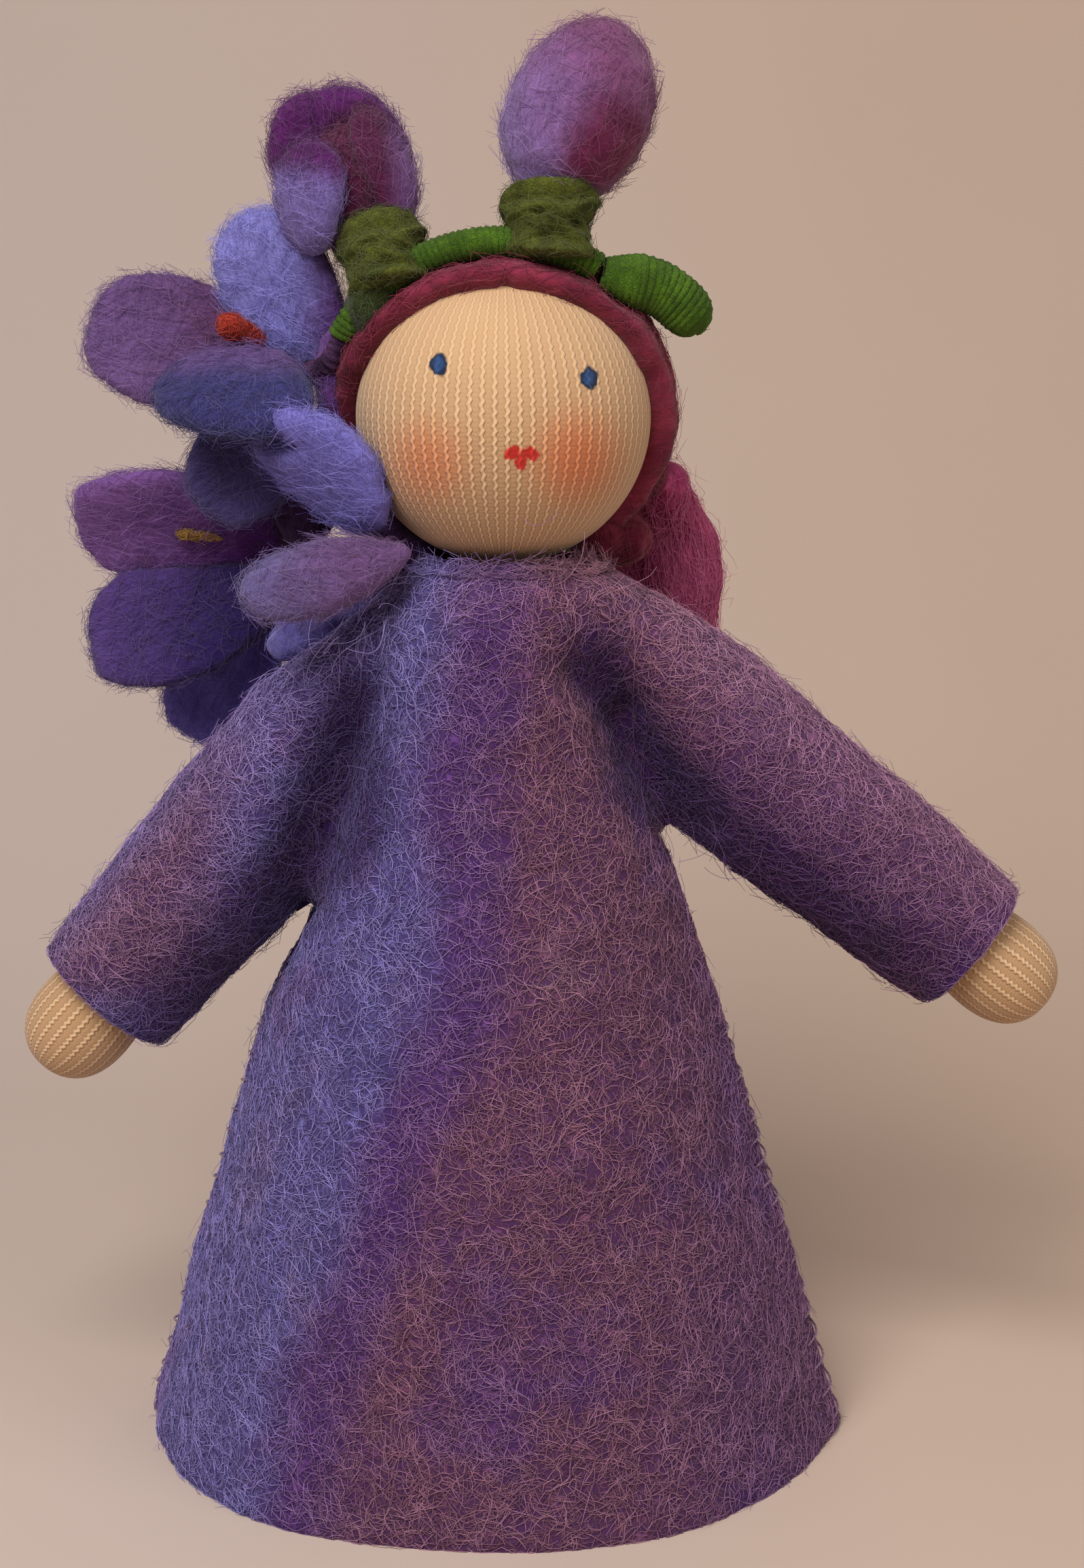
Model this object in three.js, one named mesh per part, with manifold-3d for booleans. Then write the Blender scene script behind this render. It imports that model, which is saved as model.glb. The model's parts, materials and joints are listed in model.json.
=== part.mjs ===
// A felt flower doll that stands on its skirt, with wire arms and a wreath of felted flowers.
// Millimetres, +Z up, the face towards -Y. Left and right are the doll's own, so its left arm points to +X.
import * as THREE from 'three';
import { mergeVertices } from 'three/addons/utils/BufferGeometryUtils.js';
import { ParametricGeometry } from 'three/addons/geometries/ParametricGeometry.js';
import Module from 'manifold-3d';

// Shared clearances and thicknesses
const GAP = 0.35;
const FELT = 2;
const JERSEY = 0.8;
const THREAD = 0.6;
const THREAD_PITCH = 1.1;
const ARM_WIRE = 1.2;
const STEM = 2.6;

// Dress: half-widths of the felt cone at its heights, its flatness and the lean of its collar
const DRESS_HEIGHT = 81.5;
const HEM_RADIUS = 32.2;
const THIGH_HEIGHT = 20;
const THIGH_RADIUS = 26.4;
const HIP_HEIGHT = 38;
const HIP_RADIUS = 21;
const WAIST_HEIGHT = 50;
const WAIST_RADIUS = 17.3;
const RIB_HEIGHT = 60;
const RIB_RADIUS = 14.6;
const CHEST_HEIGHT = 69;
const CHEST_RADIUS = 12.8;
const SHOULDER_HEIGHT = 75.5;
const SHOULDER_WIDTH = 12.4;
const YOKE_HEIGHT = 79.3;
const YOKE_RADIUS = 9.8;
const FLATNESS = 0.88;
const CHEST_WIRE_HEIGHT = 67.2;
const COLLAR_RADIUS = 6.9;
const COLLAR_OFFSET = 1.2;
const SEAM_RIDGE = 0.9;
const SEAM_WIDTH = 0.12;
const SEAM_TURN = -0.1;
const FOLD_DEPTH = 0.7;
const FOLD_COUNT = 5;
const FOLD_TURN = 0.6;

// Arms: the pivots are where the arm wire bends, and the slopes are those of the resting arms
const LEFT_PIVOT = new THREE.Vector3(14, 0, 69.7);
const RIGHT_PIVOT = new THREE.Vector3(-12.6, 0, 67.2);
const LEFT_SLOPE = THREE.MathUtils.degToRad(-38.5);
const RIGHT_SLOPE = THREE.MathUtils.degToRad(-131.5);
const ARM_LOWERED = THREE.MathUtils.degToRad(8);
const ARM_RAISED = THREE.MathUtils.degToRad(65);
const SHOULDER_RADIUS = 8.5;
const SLEEVE_DEPTH = 0.9;
const CUFF_RADIUS = 7.1;
const LEFT_SLEEVE_LENGTH = 38;
const RIGHT_SLEEVE_LENGTH = 34.5;
const WRIST_RADIUS = 3.6;
const HAND_RADIUS = 4.6;
const HAND_REACH = 9.3;
const HAND_COVER = 8;
const WRIST_LENGTH = 5.4;
const FAN_EASE = THREE.MathUtils.degToRad(14);

// Torso, neck and head
const TORSO_BOTTOM = 40;
const TORSO_RADIUS = 8;
const TORSO_TOP_RADIUS = 6.3;
const TORSO_HEIGHT = 36.3;
const NECK_PIVOT_HEIGHT = 74.5;
const NECK_BALL_RADIUS = 4;
const NECK_RADIUS = 2.9;
const NECK_LENGTH = 15;
const HEAD_RADIUS = 13;
const HEAD_HEIGHT = 94;
const SKIN_NECK_BOTTOM = 77;
const NECK_TIE_HEIGHT = 78.4;
const HAIR = 2.5;
const HAIR_BACK = 1;
const HAIRLINE_SLOPE = THREE.MathUtils.degToRad(26.5);
const HAIRLINE_DROP = 2;
const NAPE_HEIGHT = 83;
const TIE_RADIUS = 1.9;
const KNOT = 5.2;
const GATHER_TURN = THREE.MathUtils.degToRad(42);
const GATHER_DROP = 0.34;
const PONYTAIL_LENGTH = 18;
const PONYTAIL_RADIUS = 5.2;
const PONYTAIL_DEPTH = 0.8;
const PONYTAIL_LEAN = 0.5;
const PONYTAIL_HANG = 3;

// Wreath and flowers
const WREATH_TILT = THREE.MathUtils.degToRad(17);
const WREATH_RADIUS = 15.6;
const WREATH_RIGHT_END = THREE.MathUtils.degToRad(62);
const WREATH_LEFT_END = THREE.MathUtils.degToRad(-31);
const TIP_BUD_LENGTH = 9.5;
const TIP_BUD_RADIUS = 2.3;
const TIP_BUD_DROOP = 2.4;
const TIP_BUD_LIFT = 0.28;
const CLOSED_BUD_ANGLE = THREE.MathUtils.degToRad(-15);
const CLOSED_BUD_LENGTH = 15.4;
const CLOSED_BUD_RADIUS = 6.3;
const CALYX_LENGTH = 4.6;
const CALYX_RADIUS = 3.5;
const CALYX_FOOT = -0.6;
const RIM_DROP = 0.6;
const BUD_ROOT = 2.6;
const HALF_OPEN_ANGLE = THREE.MathUtils.degToRad(38);
const HALF_OPEN_LENGTH = 14.5;
const HALF_OPEN_WIDTH = 10.5;
const HEART_LENGTH = 10;
const HEART_RADIUS = 3.2;
const UPPER_PETAL_LENGTH = 17.5;
const UPPER_PETAL_WIDTH = 12.5;
const LOWER_PETAL_LENGTH = 21.5;
const LOWER_PETAL_WIDTH = 13.5;
const NECK_PETAL_LENGTH = 16;
const NECK_PETAL_WIDTH = 11;
const STALK = 2;
const PETAL = 2.8;
const PETAL_BLUNT = 0.3;
const SWAY = 1.1;
const STAMEN = 2.2;
const UPPER_STAMEN_LENGTH = 4.6;
const LOWER_STAMEN_LENGTH = 4.2;

const vector = (x, y, z) => new THREE.Vector3(x, y, z);
const CHEST_WIRE_MIDDLE = vector(0, 0, CHEST_WIRE_HEIGHT);
const NECK_PIVOT = vector(COLLAR_OFFSET, 0, NECK_PIVOT_HEIGHT);
const HEAD = vector(COLLAR_OFFSET, 0, HEAD_HEIGHT);
const HAIR_RADIUS = HEAD_RADIUS + HAIR;
const CUTTER = 60;

// Where the flowers' wires pass, measured from the middle of the head
const fromHead = (x, y, z) => vector(x, y, z).add(HEAD);
const UPPER_THROAT = fromHead(-18.4, 5, 2.5);
const STALK_BEND = fromHead(-20.2, 9.5, -5);
const LOWER_THROAT = fromHead(-20, 11.5, -13.5);
const SIDE_ROOT = fromHead(-18.5, 10.1, -12.9);
const SIDE_BEND = fromHead(-14.5, 1, -12);
const NECK_FLOWER = fromHead(-9.5, -6, -11);
const UPPER_STAMEN = fromHead(-21.4, 3.6, 6.3);
const LOWER_STAMEN = fromHead(-26.6, 11.5, -12);
const HALF_OPEN_LEAN = vector(-2.2, 1.3, -0.7);

const wasm = await Module();
wasm.setup();

// A closed surface as a solid: shared corners merged, slivers at the poles dropped, faces turned outwards.
function solidOf(geometry) {
  const bare = geometry.index ? geometry.toNonIndexed() : geometry.clone();
  bare.deleteAttribute('normal');
  bare.deleteAttribute('uv');
  const merged = mergeVertices(bare, 1e-4);
  const points = merged.attributes.position;
  const corners = [new THREE.Vector3(), new THREE.Vector3(), new THREE.Vector3()];
  const faces = [];
  let volume = 0;
  for (let at = 0; at < merged.index.count; at += 3) {
    const face = [0, 1, 2].map((step) => merged.index.getX(at + step));
    if (new Set(face).size === 3) {
      faces.push(face);
      face.forEach((corner, place) => corners[place].fromBufferAttribute(points, corner));
      volume += corners[0].dot(corners[1].cross(corners[2])) / 6;
    }
  }
  const triVerts = new Uint32Array(faces.flatMap((face) => (volume < 0 ? face.reverse() : face)));
  const vertProperties = new Float32Array(points.array);
  return new wasm.Manifold(new wasm.Mesh({ numProp: 3, vertProperties, triVerts }));
}

function geometryOf(solid) {
  const mesh = solid.getMesh();
  const geometry = new THREE.BufferGeometry();
  geometry.setAttribute('position', new THREE.BufferAttribute(mesh.vertProperties, 3));
  geometry.setIndex(new THREE.BufferAttribute(mesh.triVerts, 1));
  return geometry;
}

const cut = (solid, ...tools) => tools.reduce((rest, tool) => rest.subtract(tool), solid);

// A profile of [radius, height] pairs turned about the Z axis.
function turned(profile, sides) {
  const points = profile.map(([radius, height]) => new THREE.Vector2(radius, height));
  return new THREE.LatheGeometry(points, sides).rotateX(Math.PI / 2);
}

function ball(radius, centre, sides = 20, rings = 12) {
  return new THREE.SphereGeometry(radius, sides, rings).translate(centre.x, centre.y, centre.z);
}

// Turns a shape made along +Z so that it points along heading from a point, its front towards face.
function aimed(geometry, from, heading, face = vector(0, -1, 0)) {
  const along = heading.clone().normalize();
  const side = face.clone().cross(along).normalize().negate();
  const back = along.clone().cross(side);
  const turn = new THREE.Matrix4().makeBasis(side, back, along);
  return geometry.applyMatrix4(turn.setPosition(from));
}

// A round tube along a curve, with flat ends.
function tube(curve, diameter, steps, sides = 8) {
  const corners = Array.from({ length: sides }, (_, corner) => {
    const angle = (corner / sides) * Math.PI * 2;
    return new THREE.Vector2(Math.cos(angle), Math.sin(angle)).multiplyScalar(diameter / 2);
  });
  return new THREE.ExtrudeGeometry(new THREE.Shape(corners), { extrudePath: curve, steps });
}

const through = (...points) => new THREE.CatmullRomCurve3(points);

// A thread wound round an axis: one unbroken tube whose turns climb by the pitch.
class Winding extends THREE.Curve {
  constructor(radius, turns) {
    super();
    this.radius = radius;
    this.turns = turns;
  }
  getPoint(share, target = new THREE.Vector3()) {
    const angle = share * this.turns * Math.PI * 2;
    const height = (share - 0.5) * this.turns * THREAD_PITCH;
    return target.set(this.radius * Math.cos(angle), this.radius * Math.sin(angle), height);
  }
}

// The least gap between a winding's own turns, measured between points along its thread
const GAP_STEPS = 48;
function leastGap(winding) {
  const points = winding.getPoints(winding.turns * GAP_STEPS);
  let least = Infinity;
  points.forEach((point, at) => {
    for (const other of points.slice(at + GAP_STEPS / 2)) {
      least = Math.min(least, point.distanceTo(other));
    }
  });
  return least - THREAD;
}

const LOOP_STEPS = 16;
const LOOP_SIDES = 5;
function wound(coreRadius, turns) {
  const winding = new Winding(coreRadius + GAP + THREAD / 2, turns);
  console.log(`winding round ${coreRadius.toFixed(2)} mm: least gap ${leastGap(winding).toFixed(2)} mm`);
  return tube(winding, THREAD, Math.round(turns * LOOP_STEPS), LOOP_SIDES);
}

// Dress: two felt panels sewn at the sides into a cone whose top rolls in to the neck.
const dressProfile = new THREE.SplineCurve([
  new THREE.Vector2(HEM_RADIUS, 0),
  new THREE.Vector2(THIGH_RADIUS, THIGH_HEIGHT),
  new THREE.Vector2(HIP_RADIUS, HIP_HEIGHT),
  new THREE.Vector2(WAIST_RADIUS, WAIST_HEIGHT),
  new THREE.Vector2(RIB_RADIUS, RIB_HEIGHT),
  new THREE.Vector2(CHEST_RADIUS, CHEST_HEIGHT),
  new THREE.Vector2(SHOULDER_WIDTH, SHOULDER_HEIGHT),
  new THREE.Vector2(YOKE_RADIUS, YOKE_HEIGHT),
  new THREE.Vector2(COLLAR_RADIUS, DRESS_HEIGHT),
]);

const DRESS_RINGS = 16;
const DRESS_SIDES = 36;

// The felt's outer or inner surface at a share of the dress's height and an angle round it.
function dressPoint(share, angle, inset, target) {
  const at = dressProfile.getPoint(share);
  const along = dressProfile.getTangent(share);
  const height = Math.max(0, at.y + inset * along.x);
  const rise = THREE.MathUtils.smoothstep(at.y, HIP_HEIGHT, CHEST_HEIGHT);
  const hang = 1 - THREE.MathUtils.smoothstep(at.y, 0, WAIST_HEIGHT);
  const fromSeam = Math.abs(Math.sin(angle - SEAM_TURN)) / SEAM_WIDTH;
  const seam = SEAM_RIDGE * Math.exp(-fromSeam * fromSeam) * (1 - rise);
  const fold = FOLD_DEPTH * hang * Math.sin(FOLD_COUNT * angle + FOLD_TURN) * Math.sin(angle) ** 2;
  const radius = at.x - inset * along.y + seam + fold;
  const round = THREE.MathUtils.smoothstep(at.y, SHOULDER_HEIGHT, DRESS_HEIGHT);
  const depth = FLATNESS + (1 - FLATNESS) * round;
  const lean = COLLAR_OFFSET * THREE.MathUtils.smoothstep(at.y, WAIST_HEIGHT, DRESS_HEIGHT);
  return target.set(lean + radius * Math.cos(angle), radius * depth * Math.sin(angle), height);
}

// The wall is one closed loop of rings: up the outside, over the collar and down the inside.
function dressShell() {
  const levels = DRESS_RINGS + 1;
  const wallPoint = (round, wall, target) => {
    const step = Math.round(wall * 2 * levels) % (2 * levels);
    const outside = step < levels;
    const level = outside ? step : 2 * levels - 1 - step;
    const angle = SEAM_TURN + (round % 1) * Math.PI * 2;
    return dressPoint(level / DRESS_RINGS, angle, outside ? 0 : FELT, target);
  };
  return solidOf(new ParametricGeometry(wallPoint, DRESS_SIDES, 2 * levels));
}

// Sleeve: a tapered felt tube that starts as a ball round the pivot and opens at the cuff.
function sleeveProfile(length, inset, steps = 5) {
  const root = SHOULDER_RADIUS - inset;
  const profile = [];
  for (let step = 0; step <= steps; step += 1) {
    const angle = (step / steps) * (Math.PI / 2);
    profile.push([root * Math.sin(angle), -root * Math.cos(angle)]);
  }
  profile.push([SHOULDER_RADIUS - 0.3 * (SHOULDER_RADIUS - CUFF_RADIUS) - inset, length * 0.5]);
  profile.push([CUFF_RADIUS - inset, length]);
  return profile;
}

const ARM_SIDES = 20;
const SEAT_SIDES = 12;
const HAND_SIDES = 16;
function limb(profile, { pivot, slope }, depth = SLEEVE_DEPTH, sides = ARM_SIDES) {
  const heading = vector(Math.cos(slope), 0, Math.sin(slope));
  return solidOf(aimed(turned(profile, sides).scale(1, depth, 1), pivot, heading));
}

// The fan that the chest wire needs in the shoulder ball while the arm swings round it.
function wireFan(arm) {
  const direction = CHEST_WIRE_MIDDLE.clone().sub(arm.pivot);
  const slope = Math.atan2(direction.z, direction.x);
  const [below, above] = arm.side > 0 ? [ARM_RAISED, ARM_LOWERED] : [ARM_LOWERED, ARM_RAISED];
  const lowest = slope - below - FAN_EASE;
  const highest = slope + above + FAN_EASE;
  const fan = new THREE.Shape();
  fan.absarc(0, 0, SHOULDER_RADIUS + FELT, lowest, highest);
  fan.absarc(0, 0, ARM_WIRE + 3 * GAP, highest, lowest + Math.PI * 2);
  const width = ARM_WIRE + 2 * GAP;
  const plate = new THREE.ExtrudeGeometry(fan, { depth: width, bevelEnabled: false, curveSegments: 8 });
  return solidOf(aimed(plate.translate(0, 0, -width / 2), arm.pivot, vector(0, -1, 0), vector(0, 0, -1)));
}

const doll = new THREE.Group();
const bodies = {};

// A moving body is a group that stands at its hinge.
function body(name, hinge, parent) {
  const group = new THREE.Group();
  group.position.copy(hinge);
  if (parent) group.position.sub(bodies[parent].hinge);
  (parent ? bodies[parent].group : doll).add(group);
  bodies[name] = { group, hinge };
}

// Adds a finished solid to a body, in the body's own frame.
function add(bodyName, name, solid, color, roughness = 0.95) {
  const { group, hinge } = bodies[bodyName];
  const geometry = geometryOf(solid).translate(-hinge.x, -hinge.y, -hinge.z);
  const mesh = new THREE.Mesh(geometry, new THREE.MeshStandardMaterial({ color, roughness }));
  mesh.name = name;
  group.add(mesh);
}

body('root', vector(0, 0, 0));

// Arms: felt sleeve, wound wool, wire, jersey hand and wrist thread
const arms = [
  { side: 1, name: 'left', pivot: LEFT_PIVOT, slope: LEFT_SLOPE, length: LEFT_SLEEVE_LENGTH },
  { side: -1, name: 'right', pivot: RIGHT_PIVOT, slope: RIGHT_SLOPE, length: RIGHT_SLEEVE_LENGTH },
];

function handProfile(wrist) {
  const knuckle = HAND_COVER + HAND_REACH - HAND_RADIUS;
  const profile = [
    [0, 0],
    [WRIST_RADIUS + THREAD, 0],
    [WRIST_RADIUS + THREAD, 1.2],
    [WRIST_RADIUS, 2],
    [WRIST_RADIUS, WRIST_LENGTH],
    [HAND_RADIUS * 0.94, HAND_COVER - 1],
  ];
  for (let step = 0; step <= 5; step += 1) {
    const angle = (step / 5) * (Math.PI / 2);
    profile.push([HAND_RADIUS * Math.cos(angle), knuckle + HAND_RADIUS * Math.sin(angle)]);
  }
  return profile.map(([radius, height]) => [radius, wrist + height]);
}

for (const arm of arms) {
  const { side, name, pivot, slope, length } = arm;
  const heading = vector(Math.cos(slope), 0, Math.sin(slope));
  const wrist = length - HAND_COVER;
  const wireEnd = length + HAND_REACH / 2;
  const bodyName = `${name}_arm`;
  body(bodyName, pivot, 'root');

  const fan = wireFan(arm);
  const boreRadius = ARM_WIRE / 2 + GAP;
  const bore = limb([[0, 0], [boreRadius, 0], [boreRadius, wireEnd + GAP], [0, wireEnd + GAP]], arm, 1, 8);
  const sleeveWall = [...sleeveProfile(length, 0), ...sleeveProfile(length, FELT).reverse()];
  const roll = sleeveProfile(wrist - GAP, FELT + GAP);
  roll.push([0, wrist - GAP]);
  const tip = ARM_WIRE / 2;
  const wire = [[0, -tip], [tip * 0.7, -tip * 0.7], [tip, 0], [tip, wireEnd], [0, wireEnd]];
  const tiePoint = pivot.clone().addScaledVector(heading, wrist + (2 + WRIST_LENGTH) / 2);

  add(bodyName, `${name}_sleeve`, cut(limb(sleeveWall, arm), fan), 0x6f5f94);
  add(bodyName, `${name}_arm_roll`, cut(limb(roll, arm), fan, bore), 0xd8cdbb);
  add(bodyName, `${name}_arm_wire`, limb(wire, arm, 1, 8), 0x9a9a96, 0.4);
  add(bodyName, `${name}_hand`, cut(limb(handProfile(wrist), arm, 1, HAND_SIDES), bore), 0xd7b27c);
  add(bodyName, `${name}_wrist_tie`, solidOf(aimed(wound(WRIST_RADIUS, 2), tiePoint, heading)), 0xe2d8c6);

  const seat = [...sleeveProfile(length, -GAP * 1.5, 4), [0, length]];
  const lowest = { pivot, slope: slope - side * ARM_LOWERED };
  arm.seats = [arm, lowest].map((pose) => limb(seat, pose, SLEEVE_DEPTH, SEAT_SIDES));
  const socket = ball(SHOULDER_RADIUS + GAP * 1.5, vector(0, 0, 0), SEAT_SIDES, 9);
  arm.socket = solidOf(socket.rotateX(Math.PI / 2).scale(1, SLEEVE_DEPTH, 1).translate(pivot.x, pivot.y, pivot.z));
}

// Torso: the dress, the wool roll in it, and the wire that runs on into both arms
const dress = cut(dressShell(), ...arms.flatMap((arm) => arm.seats));
add('root', 'dress_body', dress, 0x75629a);

const wireEnds = arms.map(({ pivot }) => {
  const inward = CHEST_WIRE_MIDDLE.clone().sub(pivot).normalize();
  return pivot.clone().addScaledVector(inward, ARM_WIRE / 2 + GAP);
});
const chestCurve = through(wireEnds[1], CHEST_WIRE_MIDDLE, wireEnds[0]);
const chestWire = solidOf(tube(chestCurve, ARM_WIRE, 8));
const chestBore = solidOf(tube(chestCurve, ARM_WIRE + 2 * GAP, 8));

const torsoProfile = [
  [0, TORSO_BOTTOM],
  [TORSO_RADIUS - 1.5, TORSO_BOTTOM],
  [TORSO_RADIUS, TORSO_BOTTOM + 2.5],
  [TORSO_RADIUS, CHEST_HEIGHT - 8],
  [TORSO_TOP_RADIUS + 1, CHEST_HEIGHT + 2],
  [TORSO_TOP_RADIUS, TORSO_BOTTOM + TORSO_HEIGHT],
  [0, TORSO_BOTTOM + TORSO_HEIGHT],
];
const neckSeat = solidOf(ball(NECK_BALL_RADIUS + GAP, NECK_PIVOT, 16, 10));
const torso = solidOf(turned(torsoProfile, 20).translate(COLLAR_OFFSET / 2, 0, 0));
add('root', 'torso_roll', cut(torso, ...arms.map((arm) => arm.socket), neckSeat, chestBore), 0xd8cdbb);
add('root', 'chest_wire', chestWire, 0x9a9a96, 0.4);

// Neck: a wool roll with a round foot that nods in the torso, and that the head turns on
body('neck', NECK_PIVOT, 'root');
const neckTop = NECK_PIVOT_HEIGHT + NECK_LENGTH;
const footTurn = Math.asin(NECK_RADIUS / NECK_BALL_RADIUS);
const neckProfile = [];
for (let step = 0; step <= 6; step += 1) {
  const angle = (step / 6) * (Math.PI - footTurn);
  neckProfile.push([NECK_BALL_RADIUS * Math.sin(angle), -NECK_BALL_RADIUS * Math.cos(angle)]);
}
neckProfile.push([NECK_RADIUS, NECK_LENGTH], [0, NECK_LENGTH]);
const neckRoll = turned(neckProfile, 16).translate(NECK_PIVOT.x, 0, NECK_PIVOT_HEIGHT);
add('neck', 'neck_roll', solidOf(neckRoll), 0xd8cdbb);

// Head: a wound core in a jersey skin whose neck is tied round the roll
body('head', HEAD, 'neck');
const collarRadius = NECK_RADIUS + GAP;
function skullProfile(radius, neckRadius, neckBottom) {
  const start = Math.asin(neckRadius / radius);
  const profile = [[neckRadius, neckBottom - HEAD_HEIGHT]];
  for (let step = 0; step <= 10; step += 1) {
    const angle = start + (step / 10) * (Math.PI - start);
    profile.push([radius * Math.sin(angle), -radius * Math.cos(angle)]);
  }
  return profile;
}
const skinOut = skullProfile(HEAD_RADIUS, collarRadius + JERSEY, SKIN_NECK_BOTTOM);
const skinIn = skullProfile(HEAD_RADIUS - JERSEY, collarRadius, SKIN_NECK_BOTTOM);
const skin = turned([...skinIn.reverse(), ...skinOut], 24).translate(HEAD.x, 0, HEAD_HEIGHT);
add('head', 'head_skin', solidOf(skin), 0xdcb98a);

const coreBore = new THREE.CylinderGeometry(collarRadius, collarRadius, HEAD_RADIUS * 2, 16);
coreBore.rotateX(Math.PI / 2).translate(HEAD.x, 0, neckTop + GAP - HEAD_RADIUS);
const core = solidOf(ball(HEAD_RADIUS - JERSEY - GAP * 1.5, HEAD, 16, 10));
add('head', 'head_core', cut(core, solidOf(coreBore)), 0xe6ddcc);

const neckTie = wound(collarRadius + JERSEY, 2).translate(HEAD.x, 0, NECK_TIE_HEIGHT);
add('head', 'neck_tie', solidOf(neckTie), 0xe2d8c6);

// Bends a shape made along +Z so that it follows a curve of the same length, and runs on straight before it.
function bent(geometry, curve, length) {
  const points = geometry.attributes.position;
  const at = new THREE.Vector3();
  for (let corner = 0; corner < points.count; corner += 1) {
    at.fromBufferAttribute(points, corner);
    const share = THREE.MathUtils.clamp(at.z / length, 0, 1);
    const along = curve.getTangentAt(share);
    const side = vector(0, 1, 0).cross(along).normalize();
    const back = along.clone().cross(side);
    const place = curve.getPointAt(share).addScaledVector(side, at.x).addScaledVector(back, at.y);
    place.addScaledVector(along, at.z - share * length);
    points.setXYZ(corner, place.x, place.y, place.z);
  }
  return geometry;
}

// A round root about a hinge, below a profile given in shares of a length
function rooted(root, length, shares) {
  return [[0, -root], [root * 0.7, -root * 0.7], [root, 0], ...shares.map(([wide, high]) => [wide, high * length])];
}

// Wreath: an arc of wool-wound wire pressed into the hair, leaning towards the brow
function wreathPoint(angle, radius = WREATH_RADIUS) {
  const rise = radius * Math.cos(angle);
  return vector(-radius * Math.sin(angle), -rise * Math.sin(WREATH_TILT), rise * Math.cos(WREATH_TILT)).add(HEAD);
}
class Wreath extends THREE.Curve {
  getPoint(share, target = new THREE.Vector3()) {
    return target.copy(wreathPoint(WREATH_LEFT_END + share * (WREATH_RIGHT_END - WREATH_LEFT_END)));
  }
}
const wreath = new Wreath();
const wreathStem = solidOf(tube(wreath, STEM, 18));
const wreathBed = solidOf(tube(wreath, STEM + 2 * GAP, 18));
add('head', 'wreath_stem', wreathStem, 0x4c6b26);

// Tip bud: the wire's padded end
const tipStart = wreathPoint(WREATH_LEFT_END);
const tipTangent = tipStart.clone().sub(wreathPoint(WREATH_LEFT_END + 0.01)).normalize();
const tipAlong = tipTangent.clone().add(vector(0, 0, TIP_BUD_LIFT)).normalize();
body('tip_bud', tipStart.clone().addScaledVector(tipTangent, STEM / 2 + GAP), 'head');
const tipHinge = bodies.tip_bud.hinge;
const tipCurve = through(
  tipHinge,
  tipHinge.clone().addScaledVector(tipAlong, TIP_BUD_LENGTH * 0.45),
  tipHinge.clone().addScaledVector(tipAlong, TIP_BUD_LENGTH * 0.85).add(vector(0, 0, -TIP_BUD_DROOP)),
);
const tipProfile = rooted(STEM / 2, TIP_BUD_LENGTH, [
  [TIP_BUD_RADIUS * 0.86, 0.3],
  [TIP_BUD_RADIUS, 0.6],
  [TIP_BUD_RADIUS * 0.94, 0.84],
  [TIP_BUD_RADIUS * 0.6, 0.96],
  [0, 1],
]);
const tipShape = (grow) => {
  const grown = tipProfile.map(([radius, height]) => [radius && radius + grow, height]);
  return solidOf(bent(turned(grown, 12), tipCurve, TIP_BUD_LENGTH));
};
add('tip_bud', 'tip_bud', tipShape(0), 0x55752a);

// Flower stalk: the wire that runs on from the wreath and hangs beside the head
const stalkStart = wreathPoint(WREATH_RIGHT_END);
const stalkAlong = stalkStart.clone().sub(wreathPoint(WREATH_RIGHT_END - 0.01)).normalize();
const stalkCurve = through(
  stalkStart.clone().addScaledVector(stalkAlong, GAP),
  stalkStart.clone().addScaledVector(stalkAlong, 3),
  UPPER_THROAT,
  STALK_BEND,
  LOWER_THROAT,
);
add('head', 'flower_stalk', solidOf(tube(stalkCurve, STALK, 14)), 0x3f5a24);
const stalkBed = solidOf(tube(stalkCurve, STALK + 2 * GAP, 14));

// Hair: a felted cap, open at the face and the nape, gathered into a ponytail behind the left ear
const hairCentre = HEAD.clone().add(vector(0, HAIR_BACK, 0));
const gather = vector(Math.cos(GATHER_TURN), Math.sin(GATHER_TURN), -GATHER_DROP).normalize();
const gatherPoint = HEAD.clone().addScaledVector(gather, HAIR_RADIUS - HAIR / 2);
const knot = aimed(turned([[0, 0], [TIE_RADIUS * 1.8, 0], [TIE_RADIUS, 2.6], [TIE_RADIUS, KNOT], [0, KNOT]], 14), gatherPoint, gather);
const block = () => new THREE.BoxGeometry(CUTTER, CUTTER, CUTTER);
const face = block().translate(0, -CUTTER / 2, 0).rotateX(HAIRLINE_SLOPE);
face.translate(HEAD.x, 0, HEAD_HEIGHT - HAIRLINE_DROP);
const nape = block().translate(0, 0, NAPE_HEIGHT - CUTTER / 2);
const hair = solidOf(ball(HAIR_RADIUS, hairCentre, 22, 12)).add(solidOf(knot));
const scalp = solidOf(ball(HEAD_RADIUS + GAP * 1.5, HEAD, 22, 12));
const hairBeds = [wreathBed, stalkBed, tipShape(2 * GAP)];
add('head', 'hair_cap', cut(hair, scalp, solidOf(face), solidOf(nape), ...hairBeds), 0x6b2a45);

const tiePoint = gatherPoint.clone().addScaledVector(gather, KNOT - 2);
add('head', 'hair_tie', solidOf(aimed(wound(TIE_RADIUS, 2), tiePoint, gather)), 0x4d1c33);

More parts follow.
